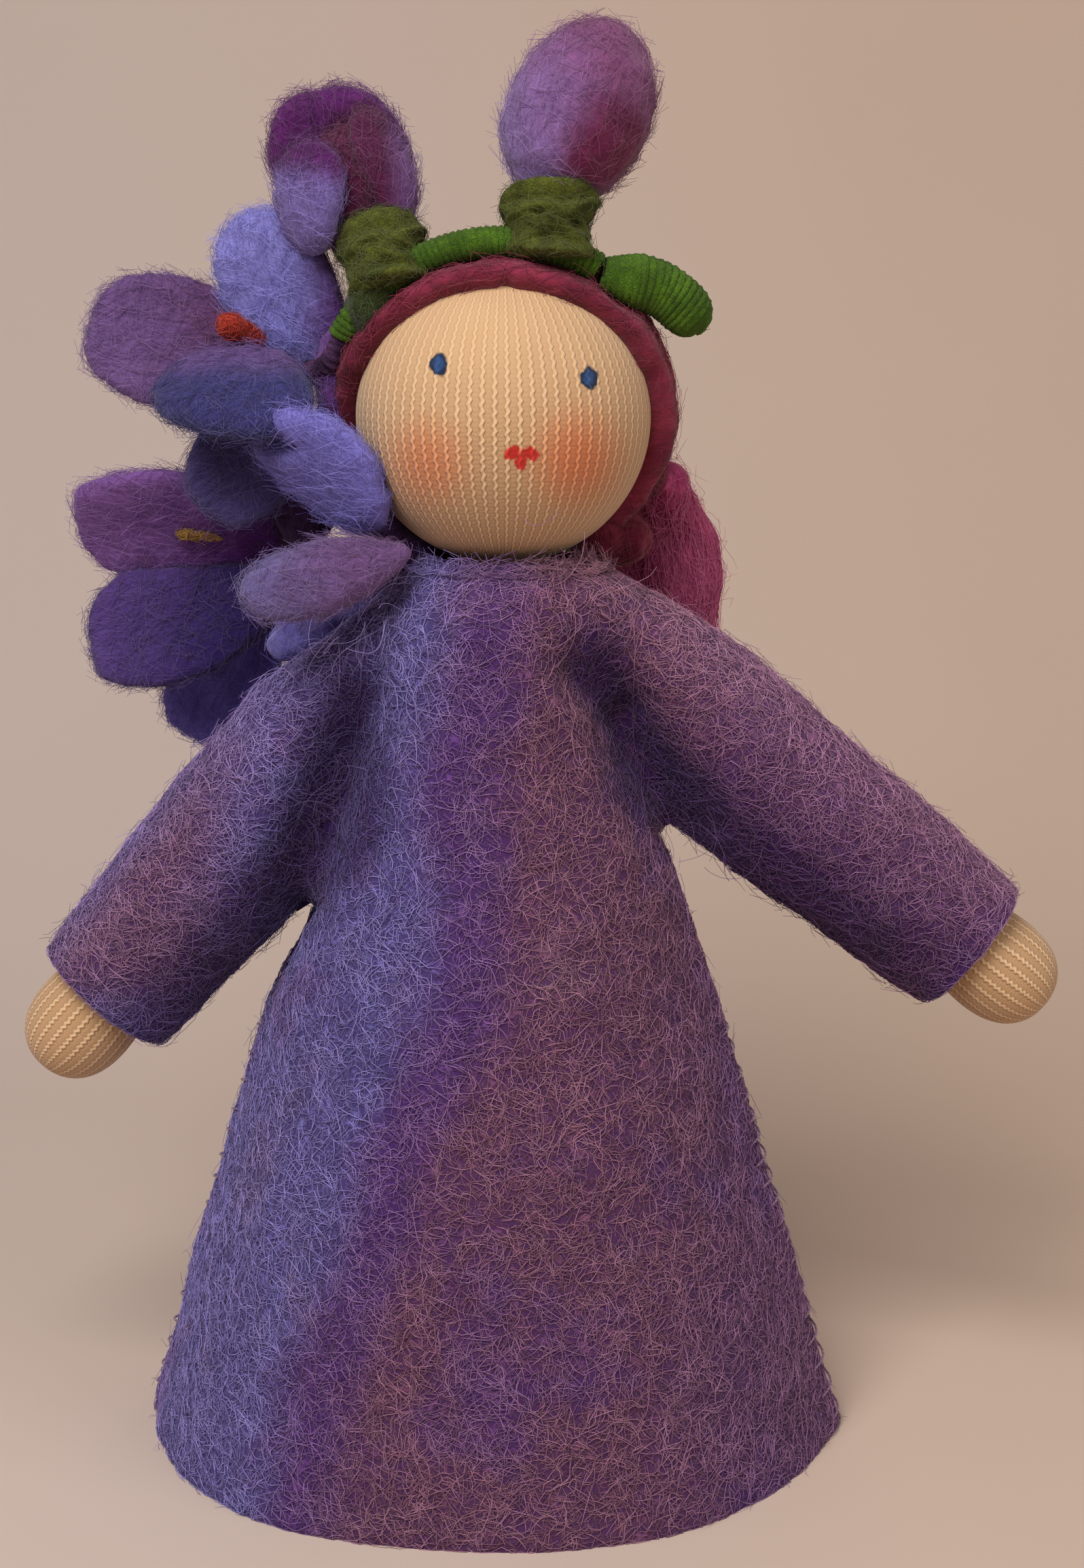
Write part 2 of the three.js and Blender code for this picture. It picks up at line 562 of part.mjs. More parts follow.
const tailRoot = TIE_RADIUS * 0.8;
body('ponytail', gatherPoint.clone().addScaledVector(gather, KNOT + GAP + tailRoot), 'head');
const tail = bodies.ponytail.hinge;
const tailCurve = through(
  tail,
  tail.clone().add(vector(PONYTAIL_LEAN, PONYTAIL_HANG * 0.8, -PONYTAIL_LENGTH * 0.3)),
  tail.clone().add(vector(PONYTAIL_LEAN, PONYTAIL_HANG, -PONYTAIL_LENGTH)),
);
const tailProfile = rooted(tailRoot, PONYTAIL_LENGTH, [
  [PONYTAIL_RADIUS * 0.6, 0.16],
  [PONYTAIL_RADIUS * 0.88, 0.36],
  [PONYTAIL_RADIUS, 0.56],
  [PONYTAIL_RADIUS * 0.85, 0.8],
  [PONYTAIL_RADIUS * 0.45, 0.96],
  [0, 1],
]);
const tailShape = turned(tailProfile, 14).scale(1, PONYTAIL_DEPTH, 1);
add('ponytail', 'ponytail', solidOf(bent(tailShape, tailCurve, PONYTAIL_LENGTH)), 0x7a3050);

// Petal: a plump felted leaf from its root along +Z, cupped forward at its edges and curled at its tip.
function petalShape({ length, width, thick = PETAL, cup = 1.5, curl = 1, narrow = 0.6 }, grow = 0) {
  const geometry = new THREE.SphereGeometry(1, 14, 9).rotateX(Math.PI / 2);
  const points = geometry.attributes.position;
  for (let corner = 0; corner < points.count; corner += 1) {
    const share = (points.getZ(corner) + 1) / 2;
    const ring = Math.max(1e-6, Math.hypot(points.getX(corner), points.getY(corner)));
    const blunt = ring ** -PETAL_BLUNT;
    const taper = narrow + (1 - narrow) * THREE.MathUtils.smoothstep(share, 0, 0.55);
    const x = points.getX(corner) * blunt * (width / 2 + grow) * taper;
    const edge = (2 * x) / width;
    const forward = cup * edge * edge * share + curl * share * share;
    const z = share * (length + 2 * grow) - grow;
    points.setXYZ(corner, x, points.getY(corner) * blunt * (thick / 2 + grow) - forward, z);
  }
  return geometry;
}

// Sews petals round a point: each is cut to lie against the ones before it and against what they sit on.
// Petals of another body stay further off, so that the flower can bend past them.
const sewn = [];
function flower(bodyName, centre, petals, color, beds) {
  for (const leaf of petals) {
    const root = centre.clone().add(leaf.root);
    const shape = (grow) => solidOf(aimed(petalShape(leaf, grow), root, leaf.heading, leaf.face));
    const nearby = sewn.map((other) => (other.bodyName === bodyName ? other.close : other.clear));
    add(bodyName, leaf.name, cut(shape(0), ...beds, ...nearby), leaf.color ?? color);
    sewn.push({ bodyName, close: shape(GAP), clear: shape(SWAY) });
  }
}

// Calyx: green winding that wraps the wreath, hollowed to hold the round root of a bud
const calyxBeds = [];
function calyx(angle, heading, name, aside = vector(0, 0, 0)) {
  const onWire = wreathPoint(angle);
  const foot = CALYX_FOOT;
  const rim = CALYX_LENGTH + foot;
  const centre = onWire.clone().addScaledVector(heading, rim + RIM_DROP).add(aside);
  const cup = solidOf(ball(BUD_ROOT + GAP, centre, 14, 10));
  const profile = [
    [0, foot],
    [CALYX_RADIUS * 0.86, foot],
    [CALYX_RADIUS * 0.8, foot + CALYX_LENGTH * 0.35],
    [CALYX_RADIUS, rim - 0.8],
    [CALYX_RADIUS * 0.94, rim],
    [0, rim],
  ];
  const winding = solidOf(aimed(turned(profile, 16), onWire, heading));
  const clear = profile.map(([radius, height]) => [radius && radius + 2 * GAP, height]);
  calyxBeds.push(solidOf(aimed(turned([...clear.slice(0, -1), [0, rim + GAP]], 16), onWire, heading)));
  add('head', name, cut(winding, wreathBed, cup, solidOf(ball(HAIR_RADIUS + GAP, hairCentre, 22, 12))), 0x5c6a34);
  return centre;
}

// A bud's round root below its swelling body
function podProfile(length, radius, shares) {
  const profile = [];
  for (let step = 0; step <= 4; step += 1) {
    const angle = (step / 4) * (Math.PI / 2);
    profile.push([BUD_ROOT * Math.sin(angle), -BUD_ROOT * Math.cos(angle)]);
  }
  return [...profile, ...shares.map(([wide, high]) => [wide * radius, high * length])];
}

const closedHeading = vector(0.3, 0.26, 1).normalize();
const closedRoot = calyx(CLOSED_BUD_ANGLE, vector(-0.02, 0.28, 1).normalize(), 'closed_bud_calyx');
body('closed_bud', closedRoot, 'head');
const podShares = [[0.76, 0.13], [0.95, 0.3], [1, 0.5], [0.9, 0.72], [0.58, 0.92], [0.3, 0.98], [0, 1]];
const pod = turned(podProfile(CLOSED_BUD_LENGTH, CLOSED_BUD_RADIUS, podShares), 16);
add('closed_bud', 'closed_bud', solidOf(aimed(pod, closedRoot, closedHeading)), 0x7b6aa8);

// Half-open flower: a dark heart in the calyx with three petals wrapped round it
const halfHeading = vector(-0.14, 0.16, 1).normalize();
const halfCalyx = vector(-0.06, 0.4, 1).normalize();
const halfRoot = calyx(HALF_OPEN_ANGLE, halfCalyx, 'half_open_calyx', HALF_OPEN_LEAN);
body('half_open', halfRoot, 'head');
const heartShares = [[0.86, 0.2], [1, 0.5], [0.72, 0.82], [0, 1]];
function heartShape(grow) {
  const profile = podProfile(HEART_LENGTH, HEART_RADIUS, heartShares);
  const grown = profile.map(([radius, height]) => [radius && radius + grow, height && height + grow]);
  return solidOf(aimed(turned(grown, 14), halfRoot, halfHeading));
}
add('half_open', 'half_open_heart', heartShape(0), 0x5a1f45);
flower('half_open', halfRoot, [
  {
    name: 'half_open_back_petal',
    root: vector(-0.8, 2.6, -0.6),
    heading: vector(-0.13, 0.12, 1),
    face: vector(0, -1, 0.15),
    length: HALF_OPEN_LENGTH,
    width: HALF_OPEN_WIDTH * 1.1,
    thick: 4.5,
    cup: 3.6,
    curl: 2,
    narrow: 0.7,
    color: 0x6d3f7c,
  },
  {
    name: 'half_open_left_petal',
    root: vector(-3.4, -1.2, -0.8),
    heading: vector(-0.42, 0.05, 1),
    face: vector(0.85, 0.5, 0.3),
    length: HALF_OPEN_LENGTH * 0.64,
    width: HALF_OPEN_WIDTH * 0.9,
    thick: 3.4,
    cup: 3,
    curl: 1.6,
    narrow: 0.7,
    color: 0x7c78b4,
  },
  {
    name: 'half_open_right_petal',
    root: vector(2.9, -0.8, 0.6),
    heading: vector(0.05, 0.12, 1),
    face: vector(-0.95, 0.2, 0),
    length: HALF_OPEN_LENGTH * 0.8,
    width: HALF_OPEN_WIDTH * 0.74,
    thick: 3.8,
    cup: 2.6,
    curl: 1.5,
    narrow: 0.7,
    color: 0x5f4585,
  },
], 0x6d5a9c, [heartShape(GAP), ...calyxBeds]);

// Upper blossom: four petals round orange stamens
body('upper_blossom', UPPER_THROAT, 'head');
flower('upper_blossom', UPPER_THROAT, [
  {
    name: 'upper_front_petal',
    root: vector(-2.2, -2.2, 2),
    heading: vector(-0.5, -0.85, -0.32),
    face: vector(0, -0.35, 1),
    length: UPPER_PETAL_LENGTH * 0.72,
    width: UPPER_PETAL_WIDTH * 1.22,
    cup: -1.5,
    curl: -2.5,
    color: 0x6f62a0,
  },
  {
    name: 'upper_top_petal',
    root: vector(1.4, -0.8, -0.2),
    heading: vector(-0.2, 0.02, 1),
    face: vector(-0.4, -0.9, 0),
    length: UPPER_PETAL_LENGTH * 0.88,
    width: UPPER_PETAL_WIDTH * 0.84,
    cup: 2.4,
    curl: 2.5,
    color: 0x8489c0,
  },
  {
    name: 'upper_outer_petal',
    root: vector(-2.2, 0.9, 1.4),
    heading: vector(-1, 0.22, 0.2),
    face: vector(0, -0.95, 0.3),
    length: UPPER_PETAL_LENGTH,
    width: UPPER_PETAL_WIDTH,
    cup: 2.5,
    curl: 1.5,
    color: 0x7b6699,
  },
  {
    name: 'upper_back_petal',
    root: vector(-0.6, 0.2, -1),
    heading: vector(-0.62, -0.05, -0.9),
    face: vector(-0.2, -0.95, 0.1),
    length: UPPER_PETAL_LENGTH * 0.74,
    width: UPPER_PETAL_WIDTH * 0.8,
    cup: 1.5,
    color: 0x6670a4,
  },
], 0x7468a4, [stalkBed]);
const stamenTuft = (from, heading, length, thickness) => {
  const profile = [[0, 0], [thickness * 0.3, 0], [thickness / 2, length * 0.8], [thickness * 0.3, length], [0, length]];
  return solidOf(aimed(turned(profile, 8), from, heading));
};
const upperStamen = stamenTuft(UPPER_STAMEN, vector(-0.72, -0.5, 0.4), UPPER_STAMEN_LENGTH, STAMEN);
add('upper_blossom', 'upper_stamen', cut(upperStamen, stalkBed, ...sewn.map((petal) => petal.close)), 0xc04a2e);

// Lower blossom: two lips, a hanging petal and yellow stamens
body('lower_blossom', LOWER_THROAT, 'head');
flower('lower_blossom', LOWER_THROAT, [
  {
    name: 'lower_upper_petal',
    root: vector(1.8, 0.6, 1.8),
    heading: vector(-1, 0.1, 0.1),
    face: vector(0, -0.85, -0.5),
    length: LOWER_PETAL_LENGTH * 1.05,
    width: LOWER_PETAL_WIDTH,
    cup: 2.5,
    curl: 1,
    color: 0x5f4a8c,
  },
  {
    name: 'lower_lower_petal',
    root: vector(-0.6, 0.4, -2.6),
    heading: vector(-1, 0, -0.38),
    face: vector(0, -0.8, 0.6),
    length: LOWER_PETAL_LENGTH * 0.91,
    width: LOWER_PETAL_WIDTH * 1.04,
    cup: 2,
    curl: 1,
    color: 0x5a4c90,
  },
  {
    name: 'lower_hanging_petal',
    root: vector(-2.4, 3.2, -3),
    heading: vector(-0.55, 0.05, -1),
    face: vector(0, -1, 0),
    length: LOWER_PETAL_LENGTH * 0.8,
    width: LOWER_PETAL_WIDTH * 0.75,
    cup: 1,
    curl: -0.5,
    color: 0x6266a0,
  },
], 0x5f4a8c, [stalkBed]);
const lowerStamen = stamenTuft(LOWER_STAMEN, vector(-1, -0.12, 0.16), LOWER_STAMEN_LENGTH, STAMEN * 0.45);
add('lower_blossom', 'lower_stamen', cut(lowerStamen, stalkBed, ...sewn.map((petal) => petal.close)), 0xb08f2c);

// Neck flower: two petals on a short side stalk, over the right shoulder
const sideCurve = through(SIDE_ROOT, SIDE_BEND, NECK_FLOWER);
const sideStalk = solidOf(tube(sideCurve, STALK, 8)).subtract(stalkBed);
add('head', 'side_stalk', cut(sideStalk, ...sewn.map((petal) => petal.close)), 0x3f5a24);
const sideBed = solidOf(tube(sideCurve, STALK + 2 * GAP, 8));
flower('head', NECK_FLOWER, [
  {
    name: 'chin_petal',
    root: vector(-1, 0.6, 1.2),
    heading: vector(-0.62, 0.2, 1),
    face: vector(-0.7, -0.7, -0.3),
    length: NECK_PETAL_LENGTH * 0.94,
    width: NECK_PETAL_WIDTH,
    cup: -1.5,
    curl: 4,
    color: 0x6d75b2,
  },
  {
    name: 'shoulder_petal',
    root: vector(1.8, -1.4, 0),
    heading: vector(-1, -0.12, -0.26),
    face: vector(0, -0.8, 0.6),
    length: NECK_PETAL_LENGTH,
    width: NECK_PETAL_WIDTH * 0.6,
    cup: -1,
    color: 0x8672a6,
  },
], 0x6d75b2, [sideBed, scalp]);

const standing = new THREE.Group();
standing.add(doll);
const bounds = new THREE.Box3().setFromObject(standing);
doll.position.set(-(bounds.min.x + bounds.max.x) / 2, -(bounds.min.y + bounds.max.y) / 2, -bounds.min.z);

export default standing;
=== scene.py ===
"""The looks of a felt flower doll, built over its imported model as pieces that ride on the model's bodies."""
import json
import math
import random

import bmesh
import bpy
from bpy.props import FloatProperty, FloatVectorProperty, IntProperty, PointerProperty
from mathutils import Matrix, Quaternion, Vector, noise
from mathutils.bvhtree import BVHTree


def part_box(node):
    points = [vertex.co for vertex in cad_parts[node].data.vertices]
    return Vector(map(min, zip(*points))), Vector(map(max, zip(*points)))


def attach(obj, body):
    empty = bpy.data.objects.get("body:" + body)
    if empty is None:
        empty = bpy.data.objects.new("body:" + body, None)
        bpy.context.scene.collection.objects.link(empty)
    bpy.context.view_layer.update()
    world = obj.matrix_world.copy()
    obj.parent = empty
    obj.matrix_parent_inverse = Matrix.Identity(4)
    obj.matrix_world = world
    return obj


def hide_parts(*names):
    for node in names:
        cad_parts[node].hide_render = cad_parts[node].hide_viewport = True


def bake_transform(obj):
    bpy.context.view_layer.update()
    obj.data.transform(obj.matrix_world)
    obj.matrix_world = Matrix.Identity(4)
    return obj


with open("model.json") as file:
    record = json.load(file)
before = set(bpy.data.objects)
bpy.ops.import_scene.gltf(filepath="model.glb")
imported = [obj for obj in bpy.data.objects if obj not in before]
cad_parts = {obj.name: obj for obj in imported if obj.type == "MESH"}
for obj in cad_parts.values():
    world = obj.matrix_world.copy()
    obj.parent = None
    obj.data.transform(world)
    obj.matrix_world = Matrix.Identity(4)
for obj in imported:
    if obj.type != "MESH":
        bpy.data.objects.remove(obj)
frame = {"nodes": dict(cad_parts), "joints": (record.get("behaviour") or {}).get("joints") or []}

bl_info = {
    "name": "Felt Flower Doll",
    "version": (1, 0),
    "blender": (4, 5, 0),
    "location": "3D View > Sidebar > Flower Doll",
    "description": "Dresses the packed model of a flower doll in felt, jersey, wool and thread",
    "category": "Add Mesh",
}

MM = 0.001
TURN = 2 * math.pi
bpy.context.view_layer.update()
HINGES = {joint["name"]: Vector(joint["pos_m"]) for joint in frame["joints"]}
HEAD = HINGES["neck_turn"]
COLLAR_OFFSET = 1.2
AXIS = Vector((HEAD.x - COLLAR_OFFSET * MM, HEAD.y, 0))

# The dress and the sleeves, in millimetres from the dress's own axis, in degrees and in shares
SIDES = 24
LEVELS = (0, 9, 18, 28, 38, 46, 52, 58, 64, 70, 75.5, 79.2, 81.6)
PROFILE = (
    (0, 32.2), (20, 26.4), (38, 21), (50, 17.3), (60, 14.6), (69, 12.8), (75.5, 12.4), (79.3, 9.8), (81.6, 7.0)
)
ARMHOLE_TOP = 75.5
FLATNESS = 0.88
SLEEVE_DEPTH = 0.9
SHOULDER_RADIUS = 8.5
CUFF_RADIUS = 7.1
BLEND_LENGTH = 11
ARMS = {
    "left": {"side": 1, "pivot": (14, 69.7), "slope": -38.5, "length": 38, "lowest": 58,
             "cloth": (0.049, 0.038, 0.0018),
             "skews": ((1.5, 10), (8, 15), (15, 20), (23, 26), (31, 32), (38, 38))},
    "right": {"side": -1, "pivot": (-12.6, 67.2), "slope": -131.5, "length": 34.5, "lowest": 52,
              "cloth": (0.049, 0.0345, 0.00158),
              "skews": ((2.5, 17), (9, 19), (16, 22), (23, 26), (29, 30), (34.5, 34.5))},
}
SEAM_RIDGE = 0.9
SEAM_TURN = -0.1
SEAM_WIDTH = 0.12
YOKE_LIFTS = (3.4, 1.2)
# Each fold also gets painted shade along its valley, in the dress's colours.
VALLEYS = (
    (((16.5, 57), 3.2), ((14.2, 61), 5.0), ((10.6, 67.5), 5.0), ((7, 73), 2.4), ((5.4, 75.5), 0.6)),
    (((-16.8, 51), 2.0), ((-14.6, 57), 3.6), ((-12, 65), 3.4), ((-9.5, 73), 0.8)),
)
LONG_HAIRS = (
    ((17, -6, 56), 3, 12),
    ((-15.5, -8, 60), 4, 12),
    ((-8, -8, 76), 4, 16),
    ((-13, -6, 74), 4, 14),
    ((6, -9, 79), 4, 8),
    ((0, -8, 80), 6, 12),
)

# The head, the wreath and the flowers, in millimetres from the head's middle
OPENING = Vector((0, -0.9, 0.43))
COURSE = 0.8
WREATH_RADIUS = 15.6
WREATH_TILT = math.radians(17)
WREATH_ENDS = (math.radians(-31), math.radians(62))
STALK_RADIUS = 1.05
STEM_PITCH = 0.56
NECK_FLOWER = HEAD + Vector((-9.5, -6, -11)) * MM
PETALS = {
    "closed_bud": ("closed_bud", (140, 114, 172), (130, 74, 116), (0.3, 0.26, 1), (-4, -4, 3), (11, 3, 3)),
    "half_open_heart": ("half_open", (80, 22, 56), (96, 30, 68), (-0.14, 0.16, 1), (0, 0, 0), (3, 0, 8)),
    "half_open_back_petal": ("half_open", (92, 30, 98), (116, 66, 130),
        (-0.13, 0.12, 1), (-4, 0, 10), (10, 0, -5)),
    "half_open_left_petal": ("half_open", (128, 112, 178), (90, 32, 98),
        (-0.42, 0.05, 1), (-3, -2, 3.0), (0.8, 0, 3.4)),
    "half_open_right_petal": ("half_open", (128, 88, 148), (90, 28, 70),
        (0.05, 0.12, 1), (4.6, 0, 5), (-3, 0, 0)),
    "upper_front_petal": ("upper_blossom", (106, 76, 136), (58, 58, 116),
        (-0.5, -0.85, -0.42), (0, -4, 3.5), (0, -1, -4.5)),
    "upper_top_petal": ("upper_blossom", (142, 142, 214), (116, 72, 148),
        (-0.2, 0.02, 1), (-1, 0, 0), (6, 0, 0)),
    "upper_outer_petal": ("upper_blossom", (100, 56, 92), (114, 84, 136),
        (-1, 0.22, 0.2), (-3, 0, 0), (-13, 0, 0)),
    "upper_back_petal": ("upper_blossom", (94, 94, 154), (80, 72, 128),
        (-0.8, 0.15, -0.5), (0, 0, 0), (-8, 0, -4)),
    "lower_upper_petal": ("lower_blossom", (82, 26, 112), (134, 92, 160),
        (-1, 0.1, 0.12), (-4, 0, 0), (-12, 0, 3)),
    "lower_lower_petal": ("lower_blossom", (48, 32, 92), (84, 60, 124),
        (-1, 0, -0.38), (-4, 0, 0), (-13, 0, 2)),
    "lower_hanging_petal": ("lower_blossom", (116, 108, 196), (120, 110, 200),
        (-0.55, 0.05, -1), (0, 0, 0), (-3, 0, -12)),
    "chin_petal": ("head", (124, 120, 198), (88, 64, 134), (-0.62, 0.2, 1), (-4, 0, 4), (8, 0, -3)),
    "shoulder_petal": ("head", (112, 80, 128), (112, 102, 152),
        (-1, -0.12, -0.26), (-3, 0, 0), (-11, 0, -2)),
}
STAINS = {
    "closed_bud": ((5.6, -3, 3.4), 6.0, (112, 34, 74)),
    "half_open_back_petal": ((0, 0, 9), 3.4, (66, 20, 52)),
}
FULLER = {
    "closed_bud": (0, (1.1, 0, 0)),
    "half_open_heart": (1.1, (0, 0, -0.6)),
    "half_open_back_petal": (0.4, (-0.7, 0, -1.4)),
    "half_open_left_petal": (0.5, (-0.2, 0, -1.0)),
    "half_open_right_petal": (0.3, (-1.1, 0, -1.4)),
    "upper_top_petal": (0.8, (-0.5, 0, 0)),
    "upper_front_petal": (0.6, (0.9, 0, 1.5)),
    "chin_petal": (0.45, (-0.3, -0.3, -2.0)),
    "shoulder_petal": (0.4, (1.0, 0, -0.3)),
}
TUFTS = {
    "stalk_tuft": ((-18.3, 9.3, -7.4), (3.3, 1.7, 5.3), 12, (52, 22, 70), (78, 52, 96)),
    "temple_tuft": ((-14.8, 0.4, 3.2), (1.9, 2.0, 5.2), 6, (82, 40, 104), (112, 70, 140)),
    "neck_tuft": ((-8.6, 1.5, -12.4), (4.2, 2.4, 2.4), 30, (66, 34, 88), (98, 66, 124)),
    "shoulder_tuft": ((-15.2, 2.4, -17.2), (7.4, 2.6, 3.2), -36, (84, 76, 140), (112, 108, 176)),
    "calyx_tuft": ((-11.2, -3.2, 9.8), (2.0, 2.0, 3.4), 16, (38, 50, 18), (62, 78, 28)),
}


def at(x, y, z):
    """A point given in millimetres from the dress's own axis."""
    return AXIS + Vector((x, y, z)) * MM


def arm_frame(arm):
    """The arm's pivot, heading and upward normal in the plane of both arms."""
    slope = math.radians(arm["slope"])
    heading = Vector((math.cos(slope), 0, math.sin(slope)))
    upward = Vector((-math.sin(slope), 0, math.cos(slope))) * arm["side"]
    return at(arm["pivot"][0], 0, arm["pivot"][1]), heading, upward


def srgb(red, green, blue):
    """A colour read off a screen, as the linear values that a shader takes."""
    parts = (value / 255 for value in (red, green, blue))
    return tuple(part / 12.92 if part <= 0.04045 else ((part + 0.055) / 1.055) ** 2.4 for part in parts)


def colour_property(name, description, default):
    return FloatVectorProperty(
        name=name, description=description, subtype="COLOR", size=3, min=0, max=1, default=srgb(*default)
    )


def length_property(name, description, millimetres):
    return FloatProperty(
        name=name, description=description, unit="LENGTH", subtype="DISTANCE", min=0, default=millimetres * MM
    )


class DollFeltSettings(bpy.types.PropertyGroup):
    """Felt of the dress and its loose fibres"""

    wall: length_property("Wall", "Thickness of the felt", 1.8)
    fibre_length: length_property("Fibre length", "Mean length of a fibre that lies on the felt", 2.8)
    fibre_width: length_property("Fibre width", "Width of such a fibre", 0.075)
    piece_fibres: IntProperty(name="Fibres", description="Fibres in each piece of the dress's mat", default=9300)
    sleeve_fibres: IntProperty(name="Sleeve fibres", description="Fibres on each sleeve", default=7200)
    # The dress's change from blue to mauve is partly the wool's own variegation and partly painted light: a cool
    # tint on the doll's right and a warm one on its left.
    blue: colour_property("Blue", "Wool at the doll's right side", (112, 106, 174))
    violet: colour_property("Violet", "Wool between the blue and the mauve", (106, 66, 132))
    mauve: colour_property("Mauve", "Wool of the middle and the doll's left side", (126, 78, 105))
    # Painted shade: the dark of the gaps between the fibres, and of the shade painted below the arms and along the
    # folds.
    shade: colour_property("Shade", "The gaps between the fibres", (48, 22, 76))


class DollHeadSettings(bpy.types.PropertyGroup):
    """Jersey of the head and hands, and the painted face"""

    radius: length_property("Radius", "Radius of the head", 13)
    wales: IntProperty(name="Wales", description="Columns of knitting round the head", default=76)
    skin: colour_property("Skin", "Jersey", (216, 180, 137))
    groove: colour_property("Groove", "Jersey between the ribs", (196, 150, 108))
    blush: colour_property("Blush", "Blush on the cheeks", (222, 122, 72))
    eyes: colour_property("Eyes", "Paint of the eyes", (38, 78, 134))
    lips: colour_property("Lips", "Paint of the mouth", (205, 44, 30))


class DollHairSettings(bpy.types.PropertyGroup):
    """Wool hair"""

    strands: IntProperty(name="Strands", description="Combed strands on the cap", default=2000)
    dark: colour_property("Dark", "Hair in the shade", (110, 32, 54))
    bright: colour_property("Bright", "Hair in the light", (146, 50, 74))


class DollWreathSettings(bpy.types.PropertyGroup):
    """Green wound wool"""

    yarn: length_property("Yarn", "Width of the wound yarn", 0.8)
    leaf: colour_property("Leaf", "Bright green of the wreath", (78, 112, 26))
    olive: colour_property("Olive", "Dark green of the calyxes", (92, 98, 34))


class DollStageSettings(bpy.types.PropertyGroup):
    """Backdrop, lamps and camera"""

    lens: FloatProperty(name="Lens", description="Focal length of the camera in millimetres", default=57.1)
    pitch: FloatProperty(
        name="Pitch", description="How far the camera looks down", subtype="ANGLE", default=math.radians(11.42)
    )
    paper: colour_property("Paper", "Backdrop", (206, 188, 178))


# Small tools for meshes


def linked(name, data):
    """A new object in the scene."""
    piece = bpy.data.objects.new(name, data)
    bpy.context.scene.collection.objects.link(piece)
    return piece


def bmesh_of(mesh):
    bm = bmesh.new()
    bm.from_mesh(mesh)
    return bm


def put_back(bm, mesh):
    bm.to_mesh(mesh)
    bm.free()


def make_object(bm, name):
    """A finished bmesh as a smooth object in the scene."""
    mesh = bpy.data.meshes.new(name)
    put_back(bm, mesh)
    mesh.shade_smooth()
    return linked(name, mesh)


def settle(piece):
    """Applies a piece's modifiers, or makes a curve a mesh, and keeps its name."""
    mesh = bpy.data.meshes.new_from_object(piece.evaluated_get(bpy.context.evaluated_depsgraph_get()))
    name = piece.name
    bpy.data.objects.remove(piece)
    mesh.name = name
    mesh.shade_smooth()
    return linked(name, mesh)


def merged_copy(solid, name):
    """A copy of a CAD node's mesh with its loose triangles joined."""
    bm = bmesh_of(frame["nodes"][solid].data)
    bmesh.ops.remove_doubles(bm, verts=bm.verts, dist=0.01 * MM)
    return make_object(bm, name)


def joined(name, pieces):
    """Several pieces as one object."""
    bm = bmesh.new()
    for piece in pieces:
        bm.from_mesh(piece.data)
        bpy.data.objects.remove(piece)
    return make_object(bm, name)


def extruded(bm, edges):
    """Draws a row of edges out, and returns the new row's edges and points."""
    made = bmesh.ops.extrude_edge_only(bm, edges=edges)["geom"]
    kinds = (bmesh.types.BMEdge, bmesh.types.BMVert)
    return [[item for item in made if isinstance(item, kind)] for kind in kinds]


def in_order(bm):
    """Numbers a mesh's points, edges and faces by their places, so that each run gives the same mesh."""
    for sequence, key in (
        (bm.verts, lambda vert: [round(part, 6) for part in vert.co]),
        (bm.edges, lambda edge: sorted(vert.index for vert in edge.verts)),
        (bm.faces, lambda face: sorted(vert.index for vert in face.verts)),
    ):
        for number, item in enumerate(sorted(sequence, key=key)):
            item.index = number
        sequence.sort()


def soften(piece, voxel, smoothing, lumps, lump_size, seed):
    """Remeshes a piece evenly, rounds its edges and gives it the unevenness of felted wool."""
    remesh = piece.modifiers.new("Even", "REMESH")
    remesh.mode = "VOXEL"
    remesh.voxel_size = voxel * MM
    piece = settle(piece)
    bm = bmesh_of(piece.data)
    for _ in range(smoothing):
        bmesh.ops.smooth_vert(bm, verts=bm.verts, factor=0.5, use_axis_x=True, use_axis_y=True, use_axis_z=True)
    bm.normal_update()
    offset = Vector((seed * 7.3, seed * 3.1, seed * 5.7))
    for vert in bm.verts:
        place = vert.co / (lump_size * MM) + offset
        swell = noise.noise(place) + 0.5 * noise.noise(place * 2.3)
        vert.co += vert.normal * (lumps * MM * swell)
    put_back(bm, piece.data)
    piece.data.shade_smooth()
    return piece


def tuft(name, place, halves, lean, seed):
    """A rounded lump of felted wool at a place given in millimetres from the head's middle."""
    bm = bmesh.new()
    bmesh.ops.create_uvsphere(bm, u_segments=24, v_segments=16, radius=MM)
    bmesh.ops.scale(bm, vec=halves, verts=bm.verts)
    bmesh.ops.rotate(bm, matrix=Matrix.Rotation(math.radians(lean), 3, "Y"), verts=bm.verts)
    bmesh.ops.translate(bm, vec=HEAD + Vector(place) * MM, verts=bm.verts)
    return soften(make_object(bm, name), 0.36, 2, 0.5, 2.6, seed)


class Surface:
    """The outside of a mesh, to lay fibres on."""

    def __init__(self, mesh, keep=None):
        bm = bmesh_of(mesh)
        bmesh.ops.triangulate(bm, faces=bm.faces)
        if keep:
            spare = [face for face in bm.faces if not keep(face.calc_center_median(), face.normal)]
            bmesh.ops.delete(bm, geom=spare, context="FACES")
        bm.normal_update()
        self.faces = [([vert.co.copy() for vert in face.verts], face.normal.copy()) for face in bm.faces]
        total = 0
        self.areas = []
        for face in bm.faces:
            total += face.calc_area()
            self.areas.append(total)
        self.tree = BVHTree.FromBMesh(bm)
        bm.free()

    def spots(self, chance, count):
        """Random points and normals, evenly over the surface."""
        for corners, normal in chance.choices(self.faces, cum_weights=self.areas, k=count):
            first, second = chance.random(), chance.random()
            if first + second > 1:
                first, second = 1 - first, 1 - second
            spot = corners[0] + (corners[1] - corners[0]) * first + (corners[2] - corners[0]) * second
            yield spot, normal


